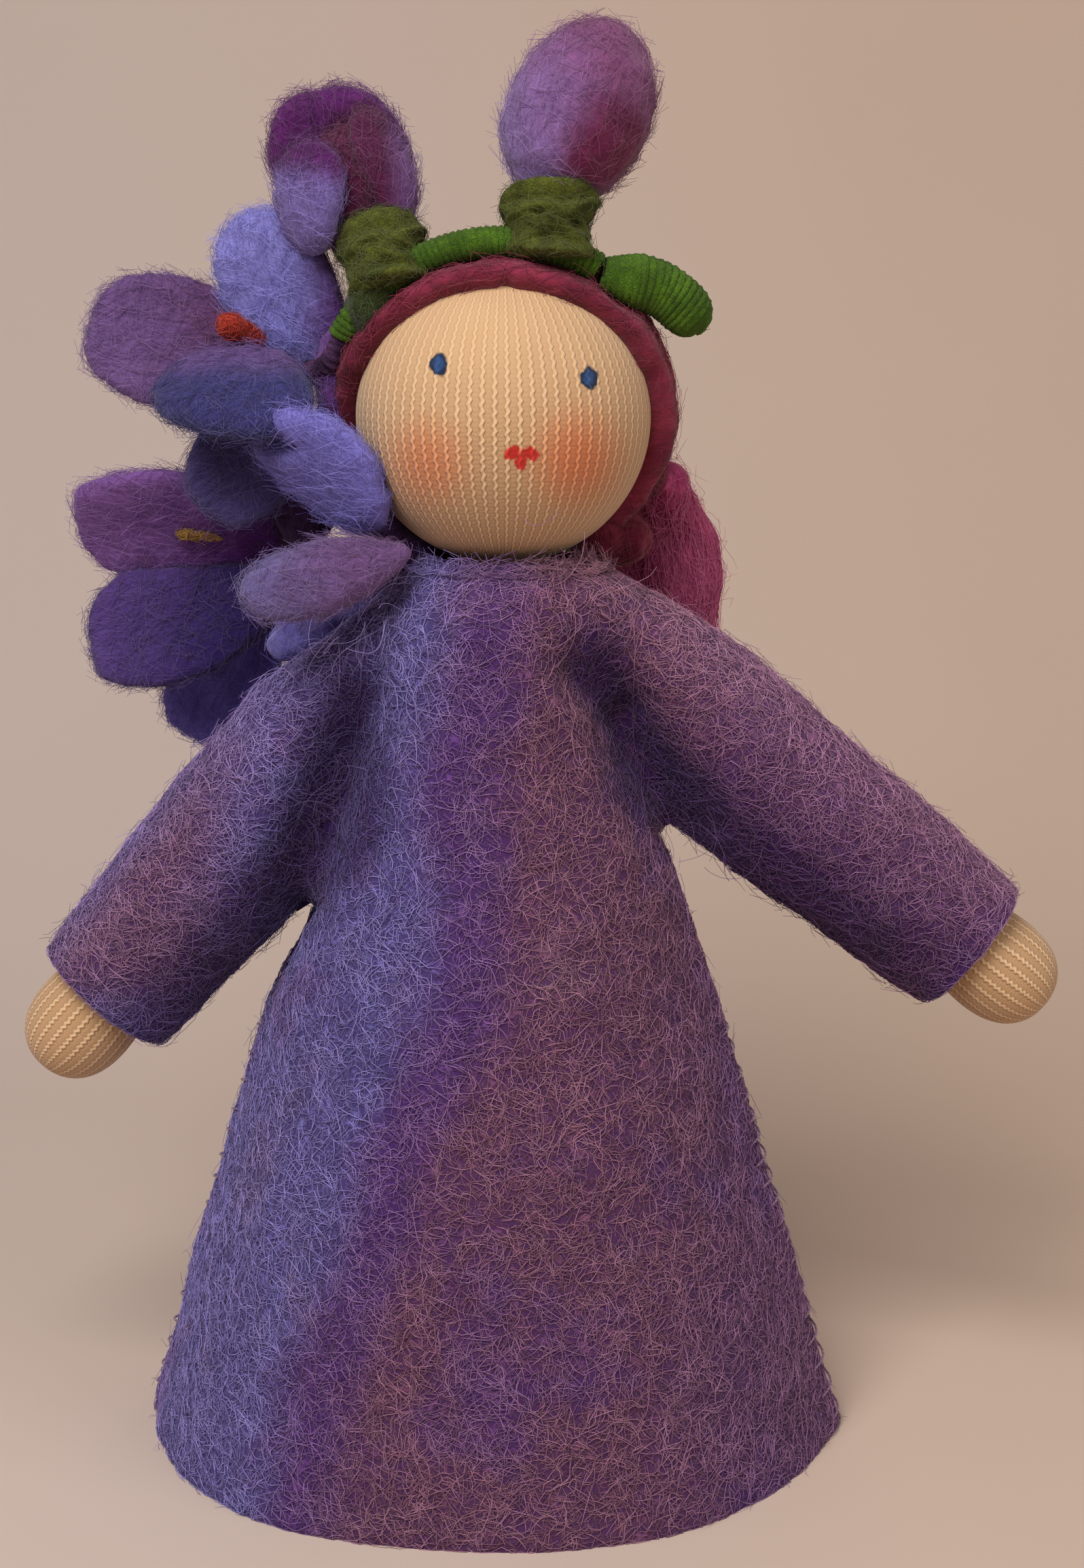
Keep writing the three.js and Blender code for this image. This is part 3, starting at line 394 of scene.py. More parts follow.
def new_curve(name, width, sides, flat=1.0):
    """An empty curve with a section of some sides, and the object that holds the section."""
    section = bpy.data.curves.new(name + "_section", "CURVE")
    section.dimensions = "2D"
    ring = section.splines.new("POLY")
    ring.points.add(sides - 1)
    for corner, point in enumerate(ring.points):
        angle = TURN * corner / sides
        point.co = (math.cos(angle) * width * MM / 2, math.sin(angle) * width * MM / 2 * flat, 0, 1)
    ring.use_cyclic_u = True
    profile = linked(name + "_section", section)
    curve = bpy.data.curves.new(name, "CURVE")
    curve.dimensions = "3D"
    curve.bevel_mode = "OBJECT"
    curve.bevel_object = profile
    curve.use_fill_caps = True
    return curve, profile


def add_line(curve, line, radii):
    spline = curve.splines.new("POLY")
    spline.points.add(len(line) - 1)
    spline.points.foreach_set("co", [value for point in line for value in (*point, 1)])
    spline.points.foreach_set("radius", radii)


def tubes(name, curve, profile):
    """A curve with its lines in it, as a mesh."""
    piece = settle(linked(name, curve))
    bpy.data.objects.remove(profile)
    return piece


def shade_points(piece, shades):
    piece.data.attributes.new("shade", "FLOAT", "POINT").data.foreach_set("value", shades)


def strand(name, lines, width, sides=6, radii=None, flat=1.0):
    """Tubes along lines of points, as one mesh."""
    curve, profile = new_curve(name, width, sides, flat)
    for line in lines:
        last = len(line) - 1
        add_line(curve, line, [radii(place / last) if radii else 1.0 for place in range(last + 1)])
    return tubes(name, curve, profile)


def fibres(
    name, surface, count, seed, length, width, lift=0.25, curl=0.6, stand=0.0, along=None, points=4, spread=0.35
):
    """Fine fibres laid on a surface in all directions, or combed along a direction, as one mesh."""
    chance = random.Random(seed)
    curve, profile = new_curve(name, width, 3)
    taper = [0.45 + 0.55 * math.sin(math.pi * (number + 0.5) / points) for number in range(points)]
    shades = []
    for spot, normal in surface.spots(chance, int(count * (1))):
        if along:
            heading = Quaternion(normal, chance.gauss(0, spread)) @ along(spot, normal).normalized()
            heading -= normal * heading.dot(normal)
            if heading.length < 0.1:
                continue
        else:
            heading = Quaternion(normal, chance.uniform(0, TURN)) @ normal.orthogonal()
        heading.normalize()
        step = length * MM * chance.uniform(0.55, 1.35) / (points - 1)
        bend = chance.gauss(0, curl)
        raised = lift * MM * chance.uniform(0.4, 1.3)
        out = stand * MM * chance.random() ** 2
        place = spot
        line = []
        for number in range(points):
            share = number / (points - 1)
            near, face_normal, _, _ = surface.tree.find_nearest(place)
            height = raised * math.sin(math.pi * min(1, share + 0.08)) + out * share * share
            line.append(near + face_normal * (height + width * MM * 0.2))
            heading = Quaternion(face_normal, bend + chance.gauss(0, curl * 0.5)) @ heading
            flat = heading - face_normal * heading.dot(face_normal)
            heading = flat.normalized() if flat.length > 0.1 else face_normal.orthogonal().normalized()
            place = near + heading * step
        add_line(curve, line, taper)
        shades.append(chance.random())
    piece = tubes(name, curve, profile)
    per_fibre = len(piece.data.vertices) // len(shades)
    shade_points(piece, [shade for shade in shades for _ in range(per_fibre)])
    return piece


def wound_line(path, radius, pitch, seed):
    """The points of a yarn wound round a path of points, at a radius given as a function of the share."""
    lengths = [0.0]
    for first, second in zip(path, path[1:]):
        lengths.append(lengths[-1] + (second - first).length)
    total = lengths[-1]
    turns = total / (pitch * MM)
    count = max(8, int(turns * 14))
    chance = random.Random(seed)
    side = (path[1] - path[0]).orthogonal().normalized()
    line = []
    leg = 0
    drift = 0.0
    for number in range(count + 1):
        share = number / count
        distance = share * total
        while leg < len(path) - 2 and lengths[leg + 1] < distance:
            leg += 1
        part = (distance - lengths[leg]) / max(1e-9, lengths[leg + 1] - lengths[leg])
        centre = path[leg].lerp(path[leg + 1], part)
        along = (path[leg + 1] - path[leg]).normalized()
        side = (side - along * side.dot(along)).normalized()
        drift = (drift + chance.gauss(0, 0.02)) * 0.9
        out = Quaternion(along, seed * 1.3 + turns * TURN * share) @ side
        line.append(centre + out * (radius(share) * MM) + along * (drift * MM))
    return line


def wound_piece(name, path, radius, pitch, yarn, seed):
    """A core with yarn wound round it along a path."""
    yarn_width = yarn / MM
    core = strand(name + "_core", [path], 2, 12, lambda share: max(0.05, radius(share) - yarn_width * 0.14))
    line = wound_line(path, lambda share: max(0.05, radius(share) - yarn_width * 0.48), pitch, seed)
    return joined(name, [core, strand(name + "_yarn", [line], yarn_width * 1.15)])


def smooth_path(points, steps=10):
    """Points close together on a smooth line through a few."""
    line = []
    last = len(points) - 1
    for number in range(last):
        before, first, second, after = (points[min(last, max(0, number + shift))] for shift in (-1, 0, 1, 2))
        for step in range(steps):
            share = step / steps
            square, cube = share * share, share ** 3
            line.append(
                first
                + (second - before) * (0.5 * (cube - 2 * square + share))
                + (second - first) * (3 * square - 2 * cube)
                + (after - first) * (0.5 * (cube - square))
            )
    line.append(points[-1])
    return line


def dress_in(mesh, material):
    mesh.materials.clear()
    mesh.materials.append(material)


def give(piece, material, body, nodes=()):
    """Gives a piece its material and its body, and hides the CAD nodes that it stands for."""
    dress_in(piece.data, material)
    if body:
        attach(piece, body)
    if nodes:
        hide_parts(*nodes)
    return piece


# Small tools for materials


class Value:
    """An output of a shader node, with the usual signs for the nodes that do maths with it."""

    def __init__(self, socket):
        self.socket, self.tree = socket, socket.id_data
        self.is_vector = socket.type == "VECTOR"

    def maths(self, operation, *others):
        return Value(node(self.tree, "Math", enumerate((self, *others)), operation=operation).outputs[0])

    def vector(self, operation, other=(0, 0, 0), output="Vector"):
        made = node(self.tree, "VectorMath", {0: self, 1: other}, operation=operation)
        return Value(made.outputs[output])

    def __add__(self, other):
        return self.vector("ADD", other) if self.is_vector else self.maths("ADD", other)

    def __sub__(self, other):
        return self.vector("SUBTRACT", other) if self.is_vector else self.maths("SUBTRACT", other)

    def __rsub__(self, other):
        return Value(node(self.tree, "Math", {0: other, 1: self}, operation="SUBTRACT").outputs[0])

    def __mul__(self, other):
        if not self.is_vector:
            return self.maths("MULTIPLY", other)
        inputs = {0: self, "Scale": other}
        return Value(node(self.tree, "VectorMath", inputs, operation="SCALE").outputs["Vector"])

    def __truediv__(self, other):
        return self.maths("DIVIDE", other)

    def __abs__(self):
        return self.maths("ABSOLUTE")

    def clamped(self):
        """The same value, held between 0 and 1."""
        self.socket.node.use_clamp = True
        return self

    def dot(self, other):
        return self.vector("DOT_PRODUCT", other, "Value")

    def parts(self):
        return [Value(socket) for socket in node(self.tree, "SeparateXYZ", {0: self}).outputs]

    def times(self, tint):
        """A colour multiplied by another."""
        return mixed(1.0, self, tint, "MULTIPLY")

    def step(self, low, high):
        """0 below low and 1 above high, and smooth between."""
        inputs = {"Value": self, "From Min": low, "From Max": high}
        return Value(node(self.tree, "MapRange", inputs, interpolation_type="SMOOTHSTEP").outputs[0])

    def cloud(self, scale, detail=2.0, roughness=0.5, distortion=0.0, output=0):
        """Noise over the surface."""
        inputs = {"Vector": self, "Scale": scale, "Detail": detail}
        inputs |= {"Roughness": roughness, "Distortion": distortion}
        return Value(node(self.tree, "TexNoise", inputs).outputs[output])


def fill(made, inputs):
    """Sets or links a node's inputs, which are values or other nodes' outputs."""
    for name, value in inputs.items():
        socket = made.inputs[name]
        if isinstance(value, Value):
            value.tree.links.new(value.socket, socket)
        elif socket.type == "RGBA":
            socket.default_value = (*value[:3], 1)
        else:
            socket.default_value = value


def node(tree, kind, inputs=(), **settings):
    """A shader node with its settings and its inputs."""
    made = tree.nodes.new("ShaderNode" + kind)
    for name, value in settings.items():
        setattr(made, name, value)
    fill(made, dict(inputs))
    return made


def mixed(factor, first, second, blend="MIX"):
    """Two colours mixed, of which one or the factor is an output."""
    tree = next(one.tree for one in (factor, first, second) if isinstance(one, Value))
    inputs = {0: factor, 6: first, 7: second}
    return Value(node(tree, "Mix", inputs, data_type="RGBA", blend_type=blend).outputs[2])


def object_place(tree):
    return Value(node(tree, "TexCoord").outputs["Object"])


def fibre_shade(tree):
    """A random number for each fibre."""
    return Value(node(tree, "Attribute", attribute_name="shade").outputs["Fac"])


def group(tree, name, inputs, build):
    """The outputs of a node group that is built once and placed in a tree with its inputs."""
    made = bpy.data.node_groups.get(name)
    if not made:
        made = bpy.data.node_groups.new(name, "ShaderNodeTree")
        for label, value in inputs.items():
            kind = {float: "Float", tuple: "Vector"}.get(type(value), "Color")
            made.interface.new_socket(name=label, in_out="INPUT", socket_type="NodeSocket" + kind)
        entry = made.nodes.new("NodeGroupInput")
        results = build(made, {socket.name: Value(socket) for socket in entry.outputs})
        for label, value in results.items():
            kind = "Color" if value.socket.type == "RGBA" else "Float"
            made.interface.new_socket(name=label, in_out="OUTPUT", socket_type="NodeSocket" + kind)
        fill(made.nodes.new("NodeGroupOutput"), results)
    placed = tree.nodes.new("ShaderNodeGroup")
    placed.node_tree = made
    fill(placed, inputs)
    return {socket.name: Value(socket) for socket in placed.outputs}


def made_once(build):
    """Lets a function that makes a material give back the one of that name that is there already."""

    def found(name, *colours, **more):
        return bpy.data.materials.get("doll " + name) or build(name, *colours, **more)

    return found


def new_material(name, roughness=0.9, sheen=0.0, specular=0.3, metallic=0.0):
    """A material with its shader's constant values, and its tree."""
    material = bpy.data.materials.new("doll " + name)
    material.use_nodes = True
    constants = {"Roughness": roughness, "Sheen Weight": sheen, "Sheen Roughness": 0.5}
    constants |= {"Specular IOR Level": specular, "Metallic": metallic}
    fill(material.node_tree.nodes["Principled BSDF"], constants)
    return material, material.node_tree


def surface_of(material, colour, height=None, depth=0.1, roughness=None):
    """Links a colour, a bump's height and a roughness to a material's shader, and returns the material."""
    inputs = {"Base Color": colour}
    if roughness:
        inputs["Roughness"] = roughness
    if height:
        bump = node(material.node_tree, "Bump", {"Height": height, "Distance": depth * MM, "Strength": 1.0})
        inputs["Normal"] = Value(bump.outputs["Normal"])
    fill(material.node_tree.nodes["Principled BSDF"], inputs)
    return material


# Effects that several materials share


def felted_fibres(tree, scale):
    """Curly fibres in all directions, drawn as thin lines through three layers of noise."""

    def build(tree, entry):
        place = object_place(tree)
        mask = None
        for layer, (size, shift) in enumerate(((1.0, 0.0), (1.35, 0.37), (1.7, 0.71))):
            noisy = (place + (shift, shift * 0.6, -shift * 0.8)).cloud(entry["Scale"] * size, 1.0, 0.4, 0.6)
            line = (1.0 - abs(noisy - 0.5) * (42.0 - 6 * layer)).clamped() * (1.0 - 0.2 * layer)
            mask = mask.maths("MAXIMUM", line) if mask else line
        return {"Fibre": mask, "Height": mask + place.cloud(entry["Scale"] * 6.0) * 0.5}

    return group(tree, "Felted fibres", {"Scale": scale}, build)


def combed_fibres(tree, along, scale):
    """Streaks of wool combed along a direction."""

    def build(tree, entry):
        place = object_place(tree)
        along = entry["Along"].vector("NORMALIZE")
        bent = place.cloud(entry["Scale"] * 0.12, 1.0) * 0.0006
        squeezed = place - along * (place.dot(along) * 0.9) + along * bent
        coarse, fine = squeezed.cloud(entry["Scale"], 2.0, 0.6, 0.4), squeezed.cloud(entry["Scale"] * 3.1)
        value = coarse * 0.65 + fine * 0.35
        return {"Streak": value.step(0.34, 0.66), "Height": value}

    return group(tree, "Combed fibres", {"Along": tuple(along), "Scale": scale}, build)


def dress_colours(tree):
    """The dress's wool: blue on the doll's right, violet next to it, and mauve with violet patches beyond, partly
    dye and partly a painted cool and warm tint of light; with painted shade below the arms and along the folds,
    and a painted highlight on the shoulders.
    """

    def build(tree, entry):
        place = object_place(tree)
        x, y, z = place.parts()
        patch = (place + (0.31, 0.07, 0.11)).cloud(48.0, 4.0, 0.65)
        across = x - AXIS.x + (place.cloud(30.0, 4.0, 0.6) - 0.5) * 0.018
        border = z.step(0.0, 0.062) * 0.014 - 0.0165 + z.step(0.064, 0.078) * 0.0035
        beyond = across - border
        underside = across.step(-0.017, -0.028) * z.step(0.038, 0.046) * (z + across * -1.13).step(0.098, 0.086)
        # The blue side is partly a painted cool tint of light, and the mauve side partly a painted warm one.
        colour = entry["Blue"]
        for share, tint in (
            (beyond.step(-0.006, 0.0005), entry["Violet"]),
            (beyond.step(0.0005, 0.007), entry["Mauve"]),
            (underside * 0.8, entry["Mauve"]),
            (patch.step(0.5, 0.66) * 0.7, entry["Violet"]),
            (across.step(0.012, 0.026) * 0.45, entry["Violet"]),
            (patch.step(0.46, 0.32) * 0.25, srgb(150, 116, 138)),
        ):
            colour = mixed(share, colour, tint)
        # Painted shade below each sleeve and along each fold; unshaded is the share outside it, where the fibres
        # keep their frost.
        unshaded = 1.0
        for arm in ARMS.values():
            pivot, heading, upward = arm_frame(arm)
            away = place - pivot
            along, above = away.dot(heading) / MM, away.dot(upward) / MM
            outward = away.dot((1, 0, 0)) * (arm["side"] / MM)
            # Painted shade on the lower half of the sleeve and on the chest beside it, where the arm's underside
            # is in shade.
            below_arm = above.step(1.0, -4.0) * above.step(-10.5, -8.0)
            fold = below_arm * (along.step(46.0, 28.0) * outward.step(-6.0, -2.0))
            colour = mixed(fold * 0.75, colour, entry["Shade"])
            unshaded = (1.0 - fold) * unshaded
            # Painted highlight: a pinkish light on the top of each shoulder.
            crest_highlight = above.step(0.0, 6.0) * outward.step(-9.0, -4.0)
            colour = mixed(crest_highlight * (0.3 if arm["side"] > 0 else 0.1), colour, srgb(178, 126, 150))
        # Painted shade in the valley of each fold between the chest and the sleeve.
        for (low_end, _), *_, (high_end, _) in VALLEYS:
            leg = Vector(low_end) - Vector(high_end)
            down = leg.normalized()
            outward = Vector((-down.y, down.x)) * math.copysign(1, -down.y * low_end[0])
            away = (place - at(high_end[0], 0, high_end[1])) * (1 / MM)
            run, aside = away.dot((down.x, 0, down.y)), away.dot((outward.x, 0, outward.y))
            lengthwise = run.step(-1.0, 4.0) * run.step(leg.length + 3, leg.length - 3)
            fold = lengthwise * (aside.step(-1.8, 0.4) * aside.step(7.0, 2.0)) * y.step(-1 * MM, -4 * MM)
            colour = mixed(fold * 0.85, colour, entry["Shade"])
            unshaded = (1.0 - fold) * unshaded
        return {"Colour": colour, "Unfolded": unshaded}

    felt = bpy.context.scene.doll_felt
    inputs = {"Blue": felt.blue, "Violet": felt.violet, "Mauve": felt.mauve, "Shade": felt.shade}
    return group(tree, "Dress colours", inputs, build)


def knitting(tree):
    """Knitting on the piece's own UV map: a light zigzag cord on each wale, and small loops between them."""

    def build(tree, entry):
        place = object_place(tree)
        wale, course, _ = Value(node(tree, "UVMap", uv_map="knit").outputs["UV"]).parts()
        climb = course + place.cloud(420.0) * 0.8
        beat = (climb * TURN).maths("SINE")
        off = (wale.maths("FRACT") + beat * 0.075 - 0.5) / 0.22
        bead = abs((climb * math.pi).maths("SINE"))
        cord = (1.0 - off * off).clamped().maths("SQRT") * (bead * 0.2 + 0.8)
        side = abs((wale + 0.5).maths("FRACT") - 0.5)
        loops = (1.0 - side / 0.26).clamped() * abs(beat)
        height = cord.maths("MAXIMUM", loops * 0.1) + place.cloud(5200.0) * 0.2
        return {"Cord": cord, "Loop": loops, "Height": height}

    return group(tree, "Knitting", {}, build)


# Materials


@made_once
def dress_material(name):
    """The dress's felt, with painted shade in the gaps between its fibres."""
    material, tree = new_material(name, 0.95, 0.1, 0.1)
    mat = felted_fibres(tree, 520.0)
    colour = dress_colours(tree)["Colour"]
    # Painted shade in the gaps between the fibres.
    deep = mixed(0.72, colour, bpy.context.scene.doll_felt.shade)
    light = colour.times((1.15, 1.12, 1.12))
    return surface_of(material, mixed(mat["Fibre"], deep, light), mat["Height"], 0.12)


@made_once
def fibre_material(name):
    """The loose fibres of the dress, each a little lighter or darker than the wool under it, with a pale frost
    that is partly a painted highlight and is cut back in the painted shade.
    """
    material, tree = new_material(name, 0.75, 0.12, 0.25)
    dress = dress_colours(tree)
    dark, light = dress["Colour"].times((0.62, 0.56, 0.62)), dress["Colour"].times((2.05, 2.0, 1.95))
    # A pale frost on the fibres, partly the wool's paler fibres and partly a painted highlight, kept out of the
    # painted shade.
    frost_and_highlight = mixed(dress["Unfolded"] * 0.16 + 0.04, light, srgb(212, 186, 190))
    return surface_of(material, mixed(fibre_shade(tree), dark, frost_and_highlight))


def wool_colour(tree, first, second, centre=None, reach=None, spot=None):
    """A first colour that changes to a second along reach, with a stain of a third."""
    place = object_place(tree)
    cloud = place.cloud(170.0, 3.0, 0.6)
    if centre is None:
        share = cloud.step(0.35, 0.65)
    else:
        distance = (place - centre).dot(reach.normalized()) / reach.length
        share = (distance + (cloud - 0.5) * 0.7).step(0.0, 1.0)
    colour = mixed(share, first, second)
    if spot:
        where, radius, tint = spot
        far = place.vector("DISTANCE", where, "Value") + (cloud - 0.5) * radius
        colour = mixed(far.step(radius, radius * 0.3), colour, tint)
    return colour


@made_once
def wool_material(name, first, second, along=(0, 0, 1), scale=1500.0, **ends):
    """Felted wool combed along a direction, that changes from a first to a second colour."""
    material, tree = new_material(name, 0.95, 0.2, 0.1)
    comb, mat = combed_fibres(tree, along, scale), felted_fibres(tree, 900.0)
    colour = wool_colour(tree, first, second, **ends)
    colour = mixed(comb["Streak"] * 0.5, colour.times((0.7, 0.64, 0.72)), colour.times((1.35, 1.32, 1.3)))
    return surface_of(material, colour, comb["Height"] + mat["Fibre"] * 0.3, 0.12)


@made_once
def strand_material(name, dark, light):
    """Loose strands, each between a dark and a light colour."""
    material, tree = new_material(name, 0.75, 0.1, 0.2)
    share = fibre_shade(tree) * 0.6 + object_place(tree).cloud(220.0) * 0.4
    return surface_of(material, mixed(share, dark, light))


def fuzz_material(name, first, second, **ends):
    """The loose fibres on a petal, each a little darker or paler than the wool under it."""
    material, tree = new_material(name, 0.75, 0.1, 0.2)
    colour = wool_colour(tree, first, second, **ends)
    light = mixed(0.12, colour.times((1.45, 1.4, 1.4)), srgb(206, 190, 206))
    return surface_of(material, mixed(fibre_shade(tree), colour.times((0.8, 0.74, 0.8)), light))


@made_once
def yarn_material(name, dark, light):
    """Wound wool yarn, with paler fibres on it."""
    material, tree = new_material(name, 0.95, 0.06, 0.1)
    mat = felted_fibres(tree, 1300.0)
    colour = mixed(object_place(tree).cloud(420.0, 3.0, 0.6).step(0.32, 0.68), dark, light)
    colour = mixed(mat["Fibre"] * 0.6, colour, colour.times((1.35, 1.35, 1.2)))
    return surface_of(material, colour, mat["Height"])


def thread_material(name, dark, light):
    """Twisted thread: slanted plies that catch the light."""
    material, tree = new_material(name, 0.6, 0.2)
    place = object_place(tree)
    wave = node(tree, "TexWave", {"Vector": place, "Scale": 900.0, "Distortion": 1.5}, bands_direction="DIAGONAL")
    share = (Value(wave.outputs["Fac"]) + place.cloud(3000.0)) * 0.5
    return surface_of(material, mixed(share, dark, light), share, 0.06)


def wire_material():
    """Drawn steel wire with faint lines and some dullness."""
    material, tree = new_material("arm_wire", 0.35, metallic=1.0)
    lines = combed_fibres(tree, (1, 0, 0), 2600.0)
    dull = object_place(tree).cloud(900.0, 3.0)
    colour = mixed(dull, srgb(150, 150, 148), srgb(196, 194, 188))
    return surface_of(material, colour, lines["Height"], 0.02, dull.step(-0.2, 1.6))


def painted_face(base, place, y):
    """The blush, the eyes and the mouth, as painted ovals on the front of the head."""
    head = bpy.context.scene.doll_head
    front = y.step(HEAD.y - 3 * MM, HEAD.y - 6 * MM)
    shaken = place + place.cloud(1400.0, output="Color").vector("SUBTRACT", (0.5, 0.5, 0.5)) * 0.0007
    rim = srgb(16, 34, 66)
    for tint, x, height, wide, high, soft, strength, turn in (
        (head.blush, -5.1, 90.6, 2.9, 3.045, 0.8, 0.62, 0),
        (head.blush, 7.6, 90.9, 3.2, 3.36, 0.8, 0.78, 0),
        (rim, -4.0, 98.8, 0.74, 0.95, 0.15, 1, 0.1),
        (head.eyes, -4.05, 98.85, 0.46, 0.64, 0.3, 0.8, 0),
        (rim, 8.6, 97.7, 0.74, 0.95, 0.15, 1, 0.1),
        (head.eyes, 8.55, 97.75, 0.46, 0.64, 0.3, 0.8, 0),
        (head.lips, 2.1, 91.6, 0.74, 0.55, 0.25, 1, 0.5),
        (head.lips, 3.65, 91.55, 0.84, 0.5, 0.25, 1, -0.35),
        (head.lips, 2.85, 90.85, 0.54, 0.68, 0.25, 1, 0),
    ):
        side, _, up = (shaken - at(x, 0, height)).parts()
        cosine, sine = math.cos(turn), math.sin(turn)
        run = (side * cosine + up * sine) / (wide * MM)
        rise = (up * cosine - side * sine) / (high * MM)
        mask = (run * run + rise * rise).maths("SQRT").step(1.0 + soft, 1.0 - soft)
        base = mixed(mask * front * strength, base, tint)
    return base


@made_once
def jersey_material(name, painted):
    """Knitted jersey, on the head with its painted face and with flatter knitting where it is stretched; its cords
    are painted lighter and its grooves darker, as painted highlight and shade.
    """
    head = bpy.context.scene.doll_head
    material, tree = new_material(name, 0.85, 0.2)
    knit = knitting(tree)
    place = object_place(tree)
    base = mixed(place.cloud(300.0) * 0.35, head.skin, head.groove)
    raised, height = knit["Cord"].maths("MAXIMUM", knit["Loop"] * 0.16), knit["Height"]
    if painted:
        _, y, z = place.parts()
        base = painted_face(base, place, y)
        relief = 1.0 - z.step(HEAD.z - 4 * MM, HEAD.z + 9 * MM) * 0.62
        raised, height = (raised - 0.5) * relief + 0.5, height * relief
    # Painted highlight on the knitted cords and painted shade in the grooves between them.
    dark, light = base.times((0.74, 0.66, 0.6)), base.times((1.18, 1.18, 1.2))
    return surface_of(material, mixed(raised, dark, light), height, 0.24)


# The garment


def smooth(low, high, value):
    """0 at low and 1 at high, and smooth between."""
    share = min(1, max(0, (value - low) / (high - low)))
    return share * share * (3 - 2 * share)


def dress_width(height):
    """Half the dress's width at a height, on a smooth line through its profile."""
    last = len(PROFILE) - 1
    leg = next((number for number in range(last) if PROFILE[number + 1][0] >= height), last - 1)
    (low, first), (high, second) = PROFILE[leg], PROFILE[leg + 1]
    before = PROFILE[max(0, leg - 1)]
    after = PROFILE[min(last, leg + 2)]
    span = high - low
    rise_low = (second - before[1]) / (high - before[0]) * span
    rise_high = (after[1] - first) / (after[0] - low) * span
    share = min(1, max(0, (height - low) / span))
    square, cube = share * share, share ** 3
    return (
        (2 * cube - 3 * square + 1) * first
        + (cube - 2 * square + share) * rise_low
        + (3 * square - 2 * cube) * second
        + (cube - square) * rise_high
    )


def dress_place(angle, height):
    """A point on the outside of the dress."""
    lean = COLLAR_OFFSET * smooth(50, 81.5, height)
    depth = FLATNESS + (1 - FLATNESS) * smooth(75.5, 81.5, height)
    hang = 1 - smooth(0, 50, height)
    fold = 0.7 * hang * math.sin(5 * angle + 0.6) * math.sin(angle) ** 2
    width = dress_width(height) + fold
    beside = max(0.0, abs(math.cos(angle)) - 0.5) * 2
    lift = YOKE_LIFTS[0 if math.cos(angle) > 0 else 1] * beside
    lift *= smooth(66, 75.5, height) * (1 - smooth(76, 81.6, height))
    return at(lean + width * math.cos(angle), width * depth * math.sin(angle), height + lift)


def sleeve_radius(arm, along):
    share = along / arm["length"]
    if share < 0.5:
        return SHOULDER_RADIUS - 0.6 * (SHOULDER_RADIUS - CUFF_RADIUS) * share
    return SHOULDER_RADIUS - (SHOULDER_RADIUS - CUFF_RADIUS) * (0.3 + 1.4 * (share - 0.5))


def garment_cage():
    """The dress as rings of an ellipse, with each sleeve drawn out of the side of the dress."""
    bm = bmesh.new()
    turn = bm.verts.layers.float.new("turn")
    level = bm.verts.layers.float.new("level")
    drawn = bm.verts.layers.int.new("drawn")
    bmesh.ops.create_circle(bm, segments=SIDES, radius=1)
    for vert in bm.verts:
        vert[turn] = math.atan2(vert.co.y, vert.co.x)
    edges = list(bm.edges)
    for vert in bm.verts:
        vert.co = dress_place(vert[turn], 0)
    for height in LEVELS[1:]:
        edges, verts = extruded(bm, edges)
        for vert in verts:
            vert[level] = height
            vert.co = dress_place(vert[turn], height)
    for number, arm in enumerate(ARMS.values(), 1):
        draw_sleeve(bm, arm, number, turn, level, drawn)
    for face in bm.faces:
        face.material_index = max(vert[drawn] for vert in face.verts)
    bmesh.ops.recalc_face_normals(bm, faces=bm.faces)
    in_order(bm)
    return bm


def draw_sleeve(bm, arm, index, turn, level, drawn):
    """Draws the faces at one armhole out along the arm, ring by ring, and opens the cuff."""
    side = arm["side"]
    pivot, heading, upward = arm_frame(arm)
    low, high = arm["lowest"], ARMHOLE_TOP

    def share(vert):
        away = math.atan2(math.sin(vert[turn]), side * math.cos(vert[turn]))
        return away / (TURN / 12), 2 * (vert[level] - low) / (high - low) - 1

    def inside(face):
        return all(
            max(abs(part) for part in share(vert)) < 1.01 and side * math.cos(vert[turn]) > 0
            for vert in face.verts
        )

    patch = [face for face in bm.faces if inside(face)]
    for reach_top, reach_low in arm["skews"]:
        made = bmesh.ops.extrude_face_region(bm, geom=patch)["geom"]
        bmesh.ops.delete(bm, geom=patch, context="FACES")
        patch = [item for item in made if isinstance(item, bmesh.types.BMFace)]
        top = pivot + (heading * reach_top + upward * sleeve_radius(arm, reach_top)) * MM
        bottom = pivot + (heading * reach_low - upward * sleeve_radius(arm, reach_low)) * MM
        middle, half = (top + bottom) / 2, (top - bottom) / 2
        wide = sleeve_radius(arm, (reach_top + reach_low) / 2) * SLEEVE_DEPTH * MM
        for vert in {vert for face in patch for vert in face.verts}:
            sideways, raised = share(vert)
            longest = max(abs(sideways), abs(raised))
            angle = math.atan2(raised, sideways)
            vert.co = middle + (half * math.sin(angle) + Vector((0, wide * math.cos(angle), 0))) * longest
            vert[drawn] = index
    bmesh.ops.delete(bm, geom=patch, context="FACES")


def push_clear(point, arm, gap):
    """Moves a point of the dress out of an arm's sleeve, where the two would cross."""
    pivot, heading, _ = arm_frame(arm)
    for lowered in (0, 8):
        turned = Matrix.Rotation(math.radians(lowered) * arm["side"], 3, "Y")
        along = turned @ heading
        away = point - pivot
        reach = away.dot(along)
        if reach < 0 or reach > (arm["length"] + 1) * MM:
            continue
        out = away - along * reach
        flat = Vector((out.x, out.y / SLEEVE_DEPTH, out.z))
        need = (sleeve_radius(arm, reach / MM) + gap) * MM
        if 1e-6 < flat.length < need:
            point = pivot + along * reach + out * (need / flat.length)
    return point


